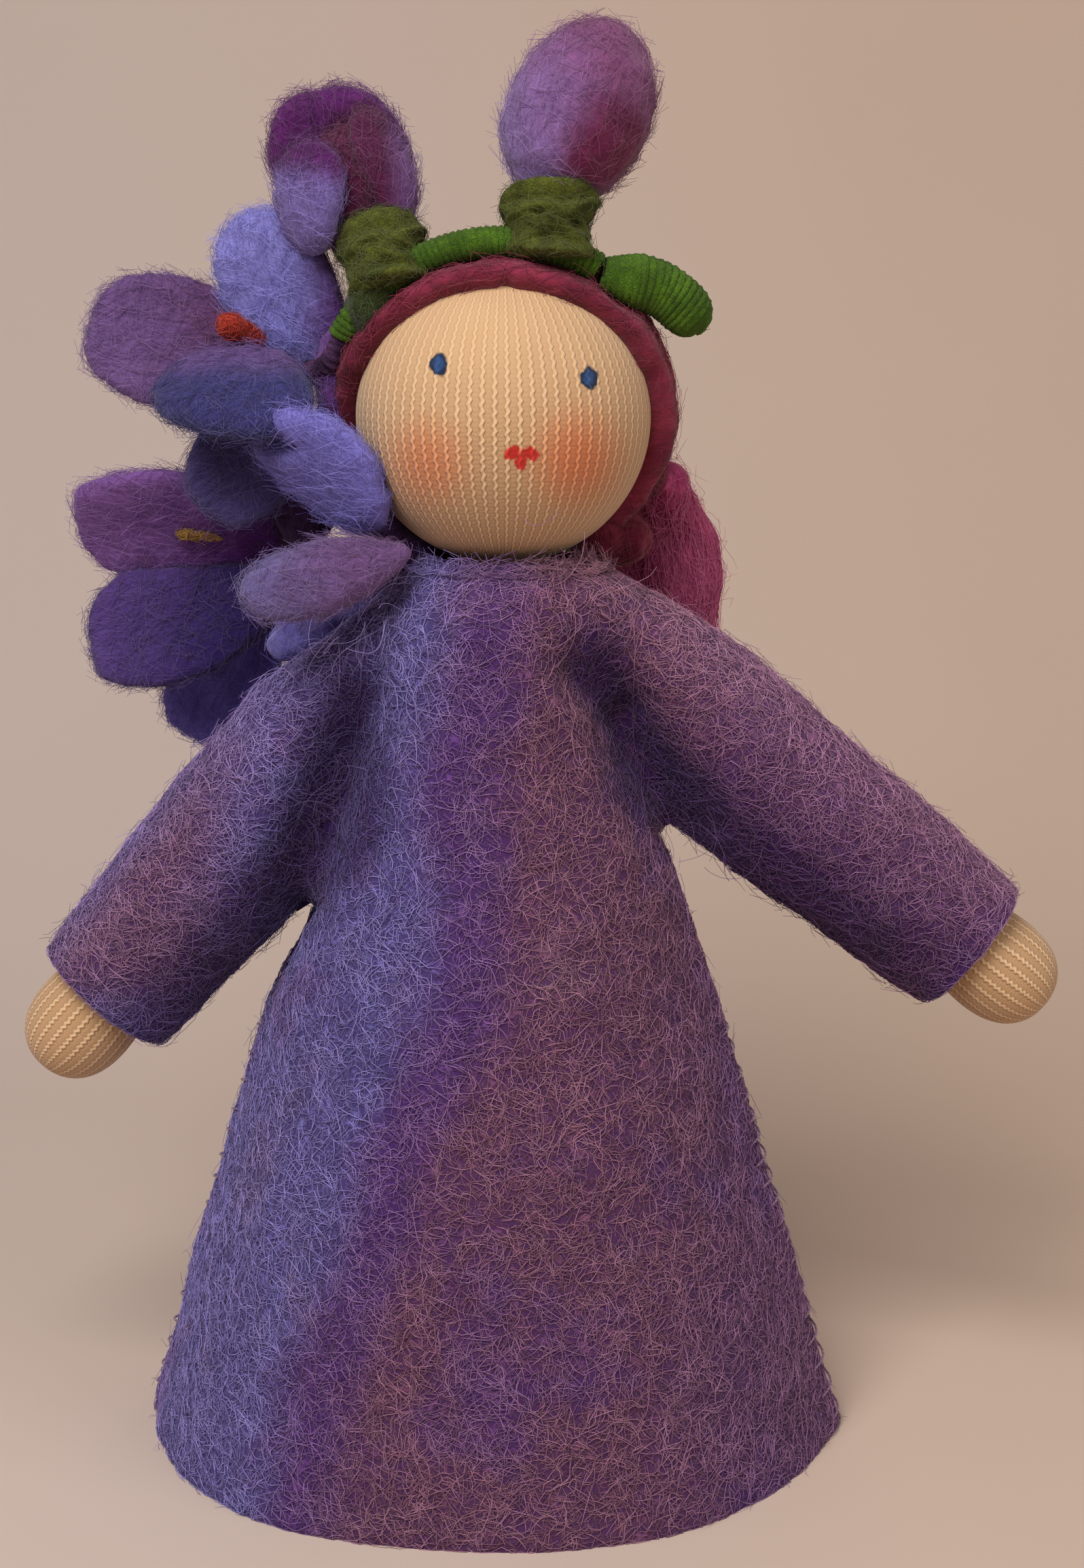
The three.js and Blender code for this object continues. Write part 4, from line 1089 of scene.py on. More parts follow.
def valley_depth(x, height, line, widened=1.0):
    """How far a fold along a line of points draws the felt in: steeply at the chest, softly at the sleeve."""
    deepest = 0.0
    outward = math.copysign(1, line[0][0][0])
    for (first, first_depth), (second, second_depth) in zip(line, line[1:]):
        start, end = Vector(first), Vector(second)
        leg = end - start
        place = Vector((x, height)) - start
        share = min(1, max(0, place.dot(leg) / leg.length_squared))
        away = place - leg * share
        depth = first_depth + (second_depth - first_depth) * share
        reach = (4.0 if away.x * outward > 0 else 1.8) * widened
        deepest = max(deepest, depth * math.exp(-(away.length / reach) ** 2))
    return deepest


def fold_depth(x, height, widened=1.0):
    return max(valley_depth(x, height, line, widened) for line in VALLEYS)


def seam_ridge(turn, height):
    """How far the seam's ridge stands out at a turn away from the seam."""
    return SEAM_RIDGE * math.exp(-(math.sin(turn) / SEAM_WIDTH) ** 2) * (1 - smooth(38, 69, height))


def shape_garment(bm):
    """Folds, seats and unevenness of the felt, moved into the finished outer surface."""
    bm.normal_update()
    dress_verts = {vert for face in bm.faces if face.material_index == 0 for vert in face.verts}
    for vert in bm.verts:
        x, y, height = (vert.co - AXIS) / MM
        if y < 0 and 45 < height < 80:
            vert.co.y += fold_depth(x, height) * smooth(0, -5, y) * MM
        if y > 0 and 50 < height < 78:
            vert.co.y -= 0.6 * fold_depth(x, height) * smooth(0, 5, y) * MM
    for vert in dress_verts:
        height = vert.co.z / MM
        out = vert.co - AXIS
        turn = math.atan2(out.y, out.x) - SEAM_TURN
        vert.co += vert.normal * (seam_ridge(turn, height) * MM)
        for arm in ARMS.values():
            if height < arm["lowest"] - 0.5:
                vert.co = push_clear(vert.co, arm, 0.5)
    bm.normal_update()
    for vert in bm.verts:
        place = vert.co / (7 * MM)
        lumps = noise.noise(place) * 0.32 + noise.noise(place * 2.7) * 0.14 + noise.noise(place * 6.1) * 0.06
        vert.co += vert.normal * (lumps * MM)


def press_in(piece):
    """Presses a wool roll in where a fold of the felt in front of it is drawn in."""
    for vert in piece.data.vertices:
        x, y, height = (vert.co - AXIS) / MM
        if 45 < height < 80:
            depth = fold_depth(x, height, 1.35)
            if y < 0:
                vert.co.y += min(1.15 * depth, -y) * smooth(0, -1.5, y) * MM
            else:
                vert.co.y -= min(0.9 * depth, y) * smooth(0, 1.5, y) * MM


def only_part(mesh, index):
    """One of the garment's three parts as a bmesh: the dress, the left sleeve or the right one."""
    bm = bmesh_of(mesh)
    bmesh.ops.delete(bm, geom=[face for face in bm.faces if face.material_index != index], context="FACES")
    return bm


def make_garment():
    """The dress and sleeves as three closed felt pieces that meet at the armholes, and their outer surfaces."""
    felt = bpy.context.scene.doll_felt
    cage = make_object(garment_cage(), "garment_cage")
    rounded = cage.modifiers.new("Rounded", "SUBSURF")
    rounded.levels = rounded.render_levels = 3
    cage = settle(cage)
    bm = bmesh_of(cage.data)
    shape_garment(bm)
    put_back(bm, cage.data)
    surfaces = [bpy.data.meshes.new("outer") for _ in range(3)]
    for index, part in enumerate(surfaces):
        put_back(only_part(cage.data, index), part)
    wall = cage.modifiers.new("Wall", "SOLIDIFY")
    wall.thickness = felt.wall
    wall.offset = -1
    wall.use_even_offset = False
    edge = cage.modifiers.new("Edge", "BEVEL")
    edge.width = 0.45 * MM
    edge.segments = 2
    edge.limit_method = "ANGLE"
    edge.angle_limit = math.radians(50)
    cage = settle(cage)
    pieces = []
    for index, name in enumerate(("dress", "left_sleeve_felt", "right_sleeve_felt")):
        bm = only_part(cage.data, index)
        open_edges = [item for item in bm.edges if item.is_boundary]
        for item in open_edges:
            item.smooth = False
        if open_edges:
            bmesh.ops.bridge_loops(bm, edges=open_edges)
        for face in bm.faces:
            face.material_index = 0
        pieces.append(make_object(bm, name))
    bpy.data.objects.remove(cage)
    return pieces, surfaces


def sleeve_blend(piece, arm_name):
    """Works out the middle of the armhole and a point just beyond it towards the arm, and bakes the piece's place
    into its mesh.
    """
    arm = ARMS[arm_name]
    pivot, heading, upward = arm_frame(arm)
    reach_top, reach_low = arm["skews"][0]
    top = pivot + (heading * reach_top + upward * SHOULDER_RADIUS) * MM
    bottom = pivot + (heading * reach_low - upward * SHOULDER_RADIUS) * MM
    across = Vector((0, arm["side"], 0)).cross(top - bottom).normalized()
    start = (top + bottom) / 2
    arm_name + "_arm"
    start + across * BLEND_LENGTH * MM
    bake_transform(piece)


class DOLL_OT_garment(bpy.types.Operator):
    """Make the felt dress and sleeves with their loose fibres"""

    bl_idname = "doll.garment"
    bl_label = "Dress and Sleeves"

    def execute(self, context):
        felt = context.scene.doll_felt
        (dress, left, right), (body_mesh, left_mesh, right_mesh) = make_garment()
        felted, loose = dress_material("dress_felt"), fibre_material("dress_fibres")
        give(dress, felted, "root", ["dress_body"])
        length, width = felt.fibre_length / MM, felt.fibre_width / MM
        lying = (length, width, 0.18, 0.7)
        many = felt.piece_fibres
        for name, keep, count, seed, form in (
            ("dress_fibres_low", lambda place, normal: normal.y < 0.15 and place.z < 26 * MM, many, 11, lying),
            ("dress_fibres_middle", lambda place, normal: normal.y < 0.15 and place.z >= 26 * MM, many, 12, lying),
            ("dress_fibres_back", lambda place, normal: normal.y >= 0.15, many, 14, lying),
            ("dress_stray_hairs", None, 2400, 13, (3.6, 0.05, 0.35, 0.5, 1.2)),
            ("collar_fuzz", lambda place, normal: place.z > 80.4 * MM, 900, 16, (2.8, 0.07, 0.3, 0.6, 1.9)),
        ):
            give(fibres(name, Surface(body_mesh, keep), count, seed, *form), loose, "root")
        self.long_hairs(loose)
        self.seam_stitches()
        for piece, mesh, arm, seed in ((left, left_mesh, "left", 21), (right, right_mesh, "right", 31)):
            give(piece, felted, None, [arm + "_sleeve"])
            *flat, area = ARMS[arm]["cloth"]
            tuple(flat)
            arm + "_arm_roll"
            surface = Surface(mesh)
            fibre_pieces = [
                fibres(arm + "_sleeve_fibres", surface, felt.sleeve_fibres, seed, length * 0.95, width, 0.2, 0.5),
                fibres(arm + "_sleeve_stray_hairs", surface, 1100, seed + 1, 3.6, 0.05, 0.4, 0.5, 1.3),
            ]
            for made in fibre_pieces:
                give(made, loose, None)
            for made in (piece, *fibre_pieces):
                sleeve_blend(made, arm)
        return {"FINISHED"}

    def long_hairs(self, material):
        """Long loose hairs that curl off the felt at the armpits and the collar."""
        chance = random.Random(17)
        lines = []
        for centre, spread, count in LONG_HAIRS:
            for _ in range(count):
                place = at(*(value + chance.gauss(0, spread * 0.5) for value in centre))
                heading = Vector([chance.gauss(0, 1) for _ in range(3)]).normalized()
                axis = Vector([chance.gauss(0, 1) for _ in range(3)]).normalized()
                line = []
                for _ in range(12):
                    line.append(place)
                    heading = Quaternion(axis, chance.uniform(0.1, 0.42)) @ heading
                    place = place + heading * chance.uniform(0.5, 0.8) * MM
                lines.append(line)
        piece = strand("dress_long_hairs", lines, 0.05, 3)
        shade_points(piece, [0.8] * len(piece.data.vertices))
        give(piece, material, "root")

    def seam_stitches(self):
        """Overcast stitches over the ridge of each side seam."""
        chance = random.Random(19)
        lines = []
        for seam in (SEAM_TURN, math.pi + SEAM_TURN):
            height = 1.6
            while height < 40:
                line = []
                for number in range(7):
                    share = number / 6
                    turn = seam - 0.1 + 0.18 * share
                    rise = height + (share - 0.5) * 1.1
                    base = dress_place(turn, rise)
                    out = (base - AXIS - Vector((0, 0, base.z))).normalized()
                    above = seam_ridge(turn - seam, rise) - 0.3 + 0.4 * math.sin(math.pi * share)
                    line.append(base + out * (above * MM))
                lines.append(line)
                height += chance.uniform(1.6, 3.0)
        piece = strand("seam_stitches", lines, 0.22)
        give(piece, thread_material("seam_thread", srgb(96, 66, 98), srgb(158, 124, 146)), "root")


# Head and hands


def knit_map(bm, wales, course, centre, along, across):
    """A UV map whose U counts wales round an axis and whose V counts courses along it."""
    layer = bm.loops.layers.uv.new("knit")
    other = along.cross(across)
    for face in bm.faces:
        turns = []
        for loop in face.loops:
            away = loop.vert.co - centre
            turns.append(math.atan2(away.dot(other), away.dot(across)) / TURN)
        for loop, turn in zip(face.loops, turns):
            if max(turns) - min(turns) > 0.5 and turn < 0:
                turn += 1
            away = loop.vert.co - centre
            reach = away.dot(along)
            round_part = (away - along * reach).length
            climb = math.atan2(reach, round_part) * math.hypot(reach, round_part)
            loop[layer].uv = (turn * wales, climb / (course * MM))


class DOLL_OT_head(bpy.types.Operator):
    """Make the jersey head with its painted face, and the two hands"""

    bl_idname = "doll.head"
    bl_label = "Head and Hands"

    def execute(self, context):
        head = context.scene.doll_head
        radius = head.radius
        bm = bmesh.new()
        bmesh.ops.create_uvsphere(bm, u_segments=128, v_segments=96, radius=radius)
        bmesh.ops.translate(bm, verts=bm.verts, vec=HEAD)
        neck_cut = HEAD - Vector((0, 0, radius * 0.945))
        everything = bm.verts[:] + bm.edges[:] + bm.faces[:]
        bmesh.ops.bisect_plane(bm, geom=everything, plane_co=neck_cut, plane_no=(0, 0, -1), clear_outer=True)
        rim = [edge for edge in bm.edges if edge.is_boundary]
        for drop, wide in ((0.8, 0.95), (1.6, 0.94), (2.4, 0.94), (3.4, 0.95), (4.6, 0.96)):
            rim, verts = extruded(bm, rim)
            for vert in verts:
                away = vert.co - HEAD
                vert.co = Vector((HEAD.x + away.x * wide, HEAD.y + away.y * wide, neck_cut.z - drop * MM))
        bmesh.ops.contextual_create(bm, geom=rim)
        bmesh.ops.recalc_face_normals(bm, faces=bm.faces)
        in_order(bm)
        knit_map(bm, head.wales, COURSE, HEAD, Vector((0, 0, 1)), Vector((0, 1, 0)))
        skin = make_object(bm, "face_jersey")
        give(skin, jersey_material("face_jersey", True), "head", ["head_skin"])
        for name, arm in ARMS.items():
            self.make_hand(name, arm)
        return {"FINISHED"}

    def make_hand(self, name, arm):
        """A hand drawn out ring by ring from the wrist inside the cuff, with its knitting along the arm."""
        pivot, heading, upward = arm_frame(arm)
        wrist = arm["length"] - 8
        bm = bmesh.new()
        bmesh.ops.create_circle(bm, segments=40, radius=1)
        for vert in bm.verts:
            vert.co *= 4.1 * MM
        rim = list(bm.edges)
        for reach, wide in (
            (1.0, 4.2), (2.0, 3.6), (4.0, 3.65), (6.5, 4.15), (9.0, 4.75),
            (11.5, 4.95), (13.5, 4.75), (15.2, 4.1), (16.4, 3.0), (17.1, 1.6),
        ):
            rim, verts = extruded(bm, rim)
            for vert in verts:
                flat = Vector((vert.co.x, vert.co.y, 0)).normalized() * wide * MM
                vert.co = Vector((flat.x, flat.y, reach * MM))
        bmesh.ops.contextual_create(bm, geom=rim)
        bmesh.ops.contextual_create(bm, geom=[edge for edge in bm.edges if edge.is_boundary])
        bmesh.ops.recalc_face_normals(bm, faces=bm.faces)
        in_order(bm)
        turn = Matrix((upward, heading.cross(upward), heading)).transposed().to_4x4()
        turn.translation = pivot + heading * (wrist * MM)
        bmesh.ops.transform(bm, matrix=turn, verts=bm.verts)
        hand = make_object(bm, name + "_hand_jersey")
        rounded = hand.modifiers.new("Rounded", "SUBSURF")
        rounded.levels = rounded.render_levels = 2
        hand = settle(hand)
        bm = bmesh_of(hand.data)
        knit_map(bm, 26, COURSE, pivot + heading * ((wrist + 2) * MM), heading, upward)
        put_back(bm, hand.data)
        give(hand, jersey_material("hand_jersey", False), name + "_arm", [name + "_hand"])


# Hair


class DOLL_OT_hair(bpy.types.Operator):
    """Make the felted hair and the ponytail with their combed strands"""

    bl_idname = "doll.hair"
    bl_label = "Hair"

    def execute(self, context):
        hair = context.scene.doll_hair
        cap = soften(merged_copy("hair_cap", "hair_felt"), 0.42, 8, 0.2, 3.2, 5)
        self.hug_face(cap)
        wool = wool_material("hair_wool", hair.dark, hair.bright, (1, 0, 0.2), 2200.0)
        give(cap, wool, "head", ["hair_cap"])
        nape = tuft("nape_wool", (8.6, 6.2, -10.6), (5.0, 2.5, 3.2), 20, 18)
        give(nape, wool, "head")
        swing = HINGES["ponytail_swing"]
        gather = (swing - HEAD).normalized()
        line = [HEAD + gather * (14.2 + 0.6 * step) * MM for step in range(11)]
        knot = strand("gather_wool", [line], 2, 14, lambda share: 3.1 - 1.2 * smooth(0, 0.45, share))
        give(soften(knot, 0.36, 3, 0.25, 1.6, 21), wool, "head")
        outer = Surface(cap.data, lambda place, normal: (place - HEAD).dot(normal) > 0)
        edge = Surface(cap.data, lambda place, normal: OPENING.angle(place - HEAD) < 1.36)
        strands = strand_material("hair_strands", srgb(92, 22, 42), srgb(164, 66, 88))
        for name, surface, count, seed, form in (
            ("nape_strands", Surface(nape.data), 260, 45, (4, 0.05, 0.2, 0.3, 1.0)),
            ("hair_strands", outer, hair.strands, 41,
             (5, 0.05, 0.1, 0.15, 0.35, lambda spot, normal: OPENING.cross(normal), 5, 0.3)),
            ("hair_stray_hairs", outer, 650, 42, (4, 0.04, 0.4, 0.35, 1.8, None, 5)),
            ("hairline_fuzz", edge, 900, 46, (2.2, 0.05, 0.35, 0.4, 0.6, None, 3)),
        ):
            give(fibres(name, surface, count, seed, *form), strands, "head")
        self.ponytail(swing, gather)
        thread = thread_material("hair_tie_thread", srgb(60, 18, 32), srgb(120, 46, 66))
        dress_in(frame["nodes"]["hair_tie"].data, thread)
        return {"FINISHED"}

    def ponytail(self, swing, gather):
        """The loose end of the hair, from a rounded root inside its tie."""
        steps = ((0.3, 1.9, -4.6), (0.2, 1.2, -2.6), (0.1, 0.5, -1.0), (0, 0, 0))
        path = [swing + Vector(step) * MM for step in steps]
        path += [swing - gather * 0.7 * MM, swing - gather * 1.5 * MM]
        root = strand("ponytail_root", [path], 2, 14, lambda share: 2.7 - 0.85 * share)
        tail = joined("ponytail_wool", [merged_copy("ponytail", "ponytail_lock"), root])
        tail = soften(tail, 0.4, 4, 0.35, 2.6, 6)
        wool = wool_material("ponytail_wool", srgb(176, 50, 108), srgb(232, 104, 156), (0, 0.1, -1))
        give(tail, wool, "ponytail", ["ponytail"])
        surface = Surface(tail.data)
        lock = strand_material("ponytail_strands", srgb(172, 54, 110), srgb(240, 136, 180))

        def hanging(spot, normal):
            return Vector((0.05, 0.05, -1))

        for name, count, seed, form in (
            ("strands", 1500, 43, (8, 0.06, 0.2, 0.1, 0.5, hanging, 6, 0.25)),
            ("stray_hairs", 350, 44, (7, 0.04, 0.5, 0.4, 2.4, None, 5)),
        ):
            give(fibres("ponytail_" + name, surface, count, seed, *form), lock, "ponytail")

    def hug_face(self, cap):
        """Seats the inside of the hair on the head, and notches the hairline above the brow."""
        radius = bpy.context.scene.doll_head.radius
        for vert in cap.data.vertices:
            away = vert.co - HEAD
            side = abs(vert.co.x - HEAD.x - 0.3 * MM)
            if away.y < -3 * MM and away.z > 0:
                reach = away.length
                near = smooth(1.75, 1.25, away.angle(OPENING))
                notch = max(0, 1 - side / (1.1 * MM)) * smooth(16.4, 13.6, reach / MM)
                inward = (OPENING - away.normalized() * OPENING.dot(away.normalized())).normalized()
                away = (away + inward * ((0.55 * near - 0.5 * notch) * MM)).normalized() * reach
                vert.co = HEAD + away
            if away.length < radius + 0.9 * MM:
                vert.co = HEAD + away.normalized() * (radius - 0.05 * MM)


# Wreath


def wreath_place(angle):
    """A point on the wreath's middle line, at an angle from the top of the head."""
    rise = WREATH_RADIUS * math.cos(angle)
    across = -WREATH_RADIUS * math.sin(angle)
    return HEAD + Vector((across, -rise * math.sin(WREATH_TILT), rise * math.cos(WREATH_TILT))) * MM


class DOLL_OT_wreath(bpy.types.Operator):
    """Make the wool-wound wreath, its tip, the stalks and the calyxes"""

    bl_idname = "doll.wreath"
    bl_label = "Wreath and Stalks"

    def execute(self, context):
        wreath = context.scene.doll_wreath
        green, dull = (
            yarn_material(name, [value * shade for value in colour], colour)
            for name, colour, shade in (("leaf_yarn", wreath.leaf, 0.55), ("calyx_yarn", wreath.olive, 0.45))
        )
        yarn = wreath.yarn * 0.8
        start, end = WREATH_ENDS
        arc = [wreath_place(start + (end - start) * number / 40) for number in range(41)]
        stem = wound_piece("wreath_winding", arc, lambda share: 1.38, STEM_PITCH, yarn, 1)
        give(stem, green, "head", ["wreath_stem"])
        tip = HINGES["tip_bud_bend"]
        tangent = (wreath_place(start) - wreath_place(start + 0.01)).normalized()
        along = (tangent + Vector((0, 0, 0.28))).normalized()
        bend = tip + along * 4.3 * MM
        finger = smooth_path([tip - along * 0.9 * MM, bend, tip + along * 8.3 * MM - Vector((0, 0, 2.4 * MM))])

        def finger_radius(share):
            rounding = max(0, (share - 0.74) / 0.262)
            return 2.4 * min(1, 0.62 + share * 1.3) * math.sqrt(max(0.0, 1 - rounding ** 2))

        bud = wound_piece("tip_bud_winding", finger, finger_radius, STEM_PITCH, yarn, 2)
        give(bud, green, "tip_bud", ["tip_bud"])
        self.stalks(yarn)
        self.calyxes(dull)
        fuzz = strand_material("green_fuzz", srgb(58, 80, 24), srgb(112, 134, 56))
        for name, source, body, seed in (("wreath_fuzz", stem, "head", 51), ("tip_bud_fuzz", bud, "tip_bud", 52)):
            loose = fibres(name, Surface(source.data), 1300, seed, 1.9, 0.04, 0.2, 0.5, 0.6, None, 3)
            give(loose, fuzz, body)
        return {"FINISHED"}

    def stalks(self, yarn):
        """The stalk of the open flowers, on from the wreath's end, and its branch to the neck."""
        end = WREATH_ENDS[1]
        start = wreath_place(end)
        along = (start - wreath_place(end - 0.01)).normalized()
        upper = HEAD + Vector((-18.4, 5, 2.5)) * MM
        lower = HEAD + Vector((-20, 11.5, -13.5)) * MM
        hang = [start, start + along * 3 * MM, upper, HEAD + Vector((-20.2, 9.5, -5)) * MM, lower]
        side = [lower + Vector((1.5, -1.4, 0.6)) * MM, HEAD + Vector((-14.5, 1, -12)) * MM, NECK_FLOWER]
        material = yarn_material("stalk_yarn", srgb(44, 20, 48), srgb(86, 52, 92))
        for name, points, seed in (("flower_stalk", hang, 3), ("side_stalk", side, 4)):
            line = smooth_path(points)
            stalk = wound_piece(name + "_winding", line, lambda share: STALK_RADIUS, 0.6, yarn, seed)
            give(stalk, material, "head", [name])

    def calyxes(self, material):
        """The green wool wound round the foot of the closed bud and of the half-open flower."""
        fuzz = strand_material("calyx_fuzz", srgb(58, 68, 26), srgb(108, 116, 62))
        for name, angle, heading, aside, wide in (
            ("closed_bud_calyx", -15, Vector((-0.02, 0.28, 1)), Vector((0, 0, 0)), (3.3, 2.95, 3.9)),
            ("half_open_calyx", 38, Vector((-0.06, 0.4, 1)), Vector((-0.9, 0.5, -0.3)), (3.0, 2.8, 3.5)),
        ):
            heading = heading.normalized()
            foot = wreath_place(math.radians(angle)) - heading * 1.1 * MM
            path = [foot + (heading * 5.6 + aside) * MM * (number / 8) for number in range(9)]

            def radius(share, wide=wide):
                low, middle, high = wide
                return low + (middle - low) * smooth(0, 0.35, share) + (high - middle) * smooth(0.35, 0.9, share)

            core = strand(name + "_core", [path], 2, 20, lambda share: radius(share) - 0.35)
            lines = [self.crossing_band(path, radius, number) for number in range(7)]
            bands = [strand(name + "_band", [line], 2.1, 10, flat=0.42) for line in lines]
            piece = soften(joined(name + "_winding", [core, *bands]), 0.22, 3, 0.1, 1.4, 9)
            give(piece, material, "head", [name])
            loose = fibres(name + "_fuzz", Surface(piece.data), 800, 61, 2.4, 0.04, 0.2, 0.5, 0.8, None, 3)
            give(loose, fuzz, "head")

    def crossing_band(self, path, radius, number):
        """One turn of a wide wool band that slants round a calyx, up or down by turns."""
        steep = 1 if number % 2 else -1
        line = []
        for step in range(25):
            share = step / 24
            rise = 0.16 + 0.1 * number + 0.24 * steep * math.cos(TURN * share)
            rise = min(0.93, max(0.07, rise))
            place = rise * (len(path) - 1)
            leg = min(len(path) - 2, int(place))
            centre = path[leg].lerp(path[leg + 1], place - leg)
            along = (path[-1] - path[0]).normalized()
            side = along.orthogonal().normalized()
            out = Quaternion(along, TURN * (share + 0.19 * number)) @ side
            line.append(centre + out * ((radius(rise) - 0.28) * MM))
        return line


# Flowers


def swell(piece, root, amount, lean):
    """Fills a felted piece out and leans it, the more the farther from its root."""
    length = max((vert.co - root).length for vert in piece.data.vertices)
    normals = [vert.normal.copy() for vert in piece.data.vertices]
    for vert, normal in zip(piece.data.vertices, normals):
        away = (vert.co - root).length
        vert.co += normal * (amount * smooth(1.5, 5, away / MM) * MM)
        vert.co += Vector(lean) * MM * (away / length) ** 1.6


class DOLL_OT_flowers(bpy.types.Operator):
    """Make the felted buds and petals with their fuzz, and the stamens"""

    bl_idname = "doll.flowers"
    bl_label = "Buds and Petals"

    def execute(self, context):
        for number, (name, (body, first, second, along, start, reach)) in enumerate(PETALS.items()):
            petal = soften(merged_copy(name, name + "_felt"), 0.36, 6, 0.22, 3.0, number)
            low, high = (Vector(corner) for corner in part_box(name))
            root = NECK_FLOWER if body == "head" else HINGES.get(body + "_bend", (low + high) / 2)
            swell(petal, root, *FULLER.get(name, (0.3, (0, 0, 0))))
            spot = None
            if name in STAINS:
                place, wide, tint = STAINS[name]
                spot = (root + Vector(place) * MM, wide * MM, srgb(*tint))
            ends = {"centre": root + Vector(start) * MM, "reach": Vector(reach) * MM, "spot": spot}
            colours = (srgb(*first), srgb(*second))
            give(petal, wool_material(name + "_wool", *colours, along, 2000.0, **ends), body, [name])
            area = Surface(petal.data)
            count = min(1750, area.areas[-1] / MM ** 2 * 4.7)
            direction = Vector(along).normalized()
            form = (2.7, 0.04, 0.28, 0.4, 1.3, lambda spot, normal: direction, 3, 1.0)
            fuzz = fibres(name + "_fuzz", area, count, 70 + number, *form)
            give(fuzz, fuzz_material(name + "_fuzz", *colours, **ends), body)
        self.tufts()
        self.stamens()
        return {"FINISHED"}

    def tufts(self):
        """Loose wool that closes the gaps round the stalks and the calyx."""
        for name, (place, halves, lean, first, second) in TUFTS.items():
            colours = (srgb(*first), srgb(*second))
            lump = tuft(name + "_wool", place, halves, lean, 15)
            give(lump, wool_material(name + "_wool", *colours, (0.3, 0, 1), 2000.0), "head")
            fuzz = fibres(name + "_fuzz", Surface(lump.data), 380, 92, 2.6, 0.04, 0.25, 0.5, 0.9, None, 3)
            give(fuzz, fuzz_material(name + "_fuzz", *colours), "head")

    def stamens(self):
        """The flowers' hearts, as lumps of wool with short stiff fibres."""
        for name, body, dark, light, count in (
            ("upper_stamen", "upper_blossom", srgb(140, 34, 34), srgb(206, 74, 48), 390),
            ("lower_stamen", "lower_blossom", srgb(126, 92, 44), srgb(188, 146, 74), 120),
        ):
            anther = soften(merged_copy(name, name + "_wool"), 0.2, 3, 0.12, 0.8, 3)
            wool = wool_material(name + "_wool", dark, light, (-0.8, -0.4, 0.4), 3000.0)
            give(anther, wool, body, [name])
            loose = fibres(name + "_fibres", Surface(anther.data), count, 91, 1.6, 0.07, 0.15, 0.8, 0.6)
            give(loose, strand_material(name + "_fibres", dark, light), body)


# Inside pieces and thread


class DOLL_OT_insides(bpy.types.Operator):
    """Finish the wool rolls, the wires and the threads inside the doll"""

    bl_idname = "doll.insides"
    bl_label = "Wool Rolls, Wires and Threads"

    def execute(self, context):
        wool = wool_material("stuffing_wool", srgb(206, 194, 172), srgb(232, 224, 206), (1, 0, 0.2), 1200.0)
        strands = strand_material("stuffing_strands", srgb(196, 182, 158), srgb(240, 234, 220))

        def round_roll(spot, normal):
            return Vector((0, 0, 1)).cross(normal) + Vector((0, 0, 0.15))

        for name, body, count in (
            ("torso_roll", "root", 300),
            ("left_arm_roll", "left_arm", 150),
            ("right_arm_roll", "right_arm", 150),
            ("neck_roll", "neck", 150),
            ("head_core", "head", 150),
        ):
            roll = soften(merged_copy(name, name + "_wool"), 0.55, 2, -0.12, 2.4, 8)
            if body not in ("neck", "head"):
                press_in(roll)
            form = (7, 0.09, 0.02, 0.1, 0, round_roll, 6, 0.3)
            wrapped = fibres(name + "_strands", Surface(roll.data), count, 95, *form)
            bends = body.endswith("_arm")
            give(roll, wool, None if bends else body, [name])
            give(wrapped, strands, None if bends else body)
            if bends:
                sleeve_blend(roll, body[:-4])
                sleeve_blend(wrapped, body[:-4])
        thread = thread_material("tie_thread", srgb(186, 172, 150), srgb(240, 232, 218))
        for material, names in (
            (wire_material(), ("chest_wire", "left_arm_wire", "right_arm_wire")),
            (thread, ("left_wrist_tie", "right_wrist_tie", "neck_tie")),
        ):
            for name in names:
                dress_in(frame["nodes"][name].data, material)
        return {"FINISHED"}


# Stage


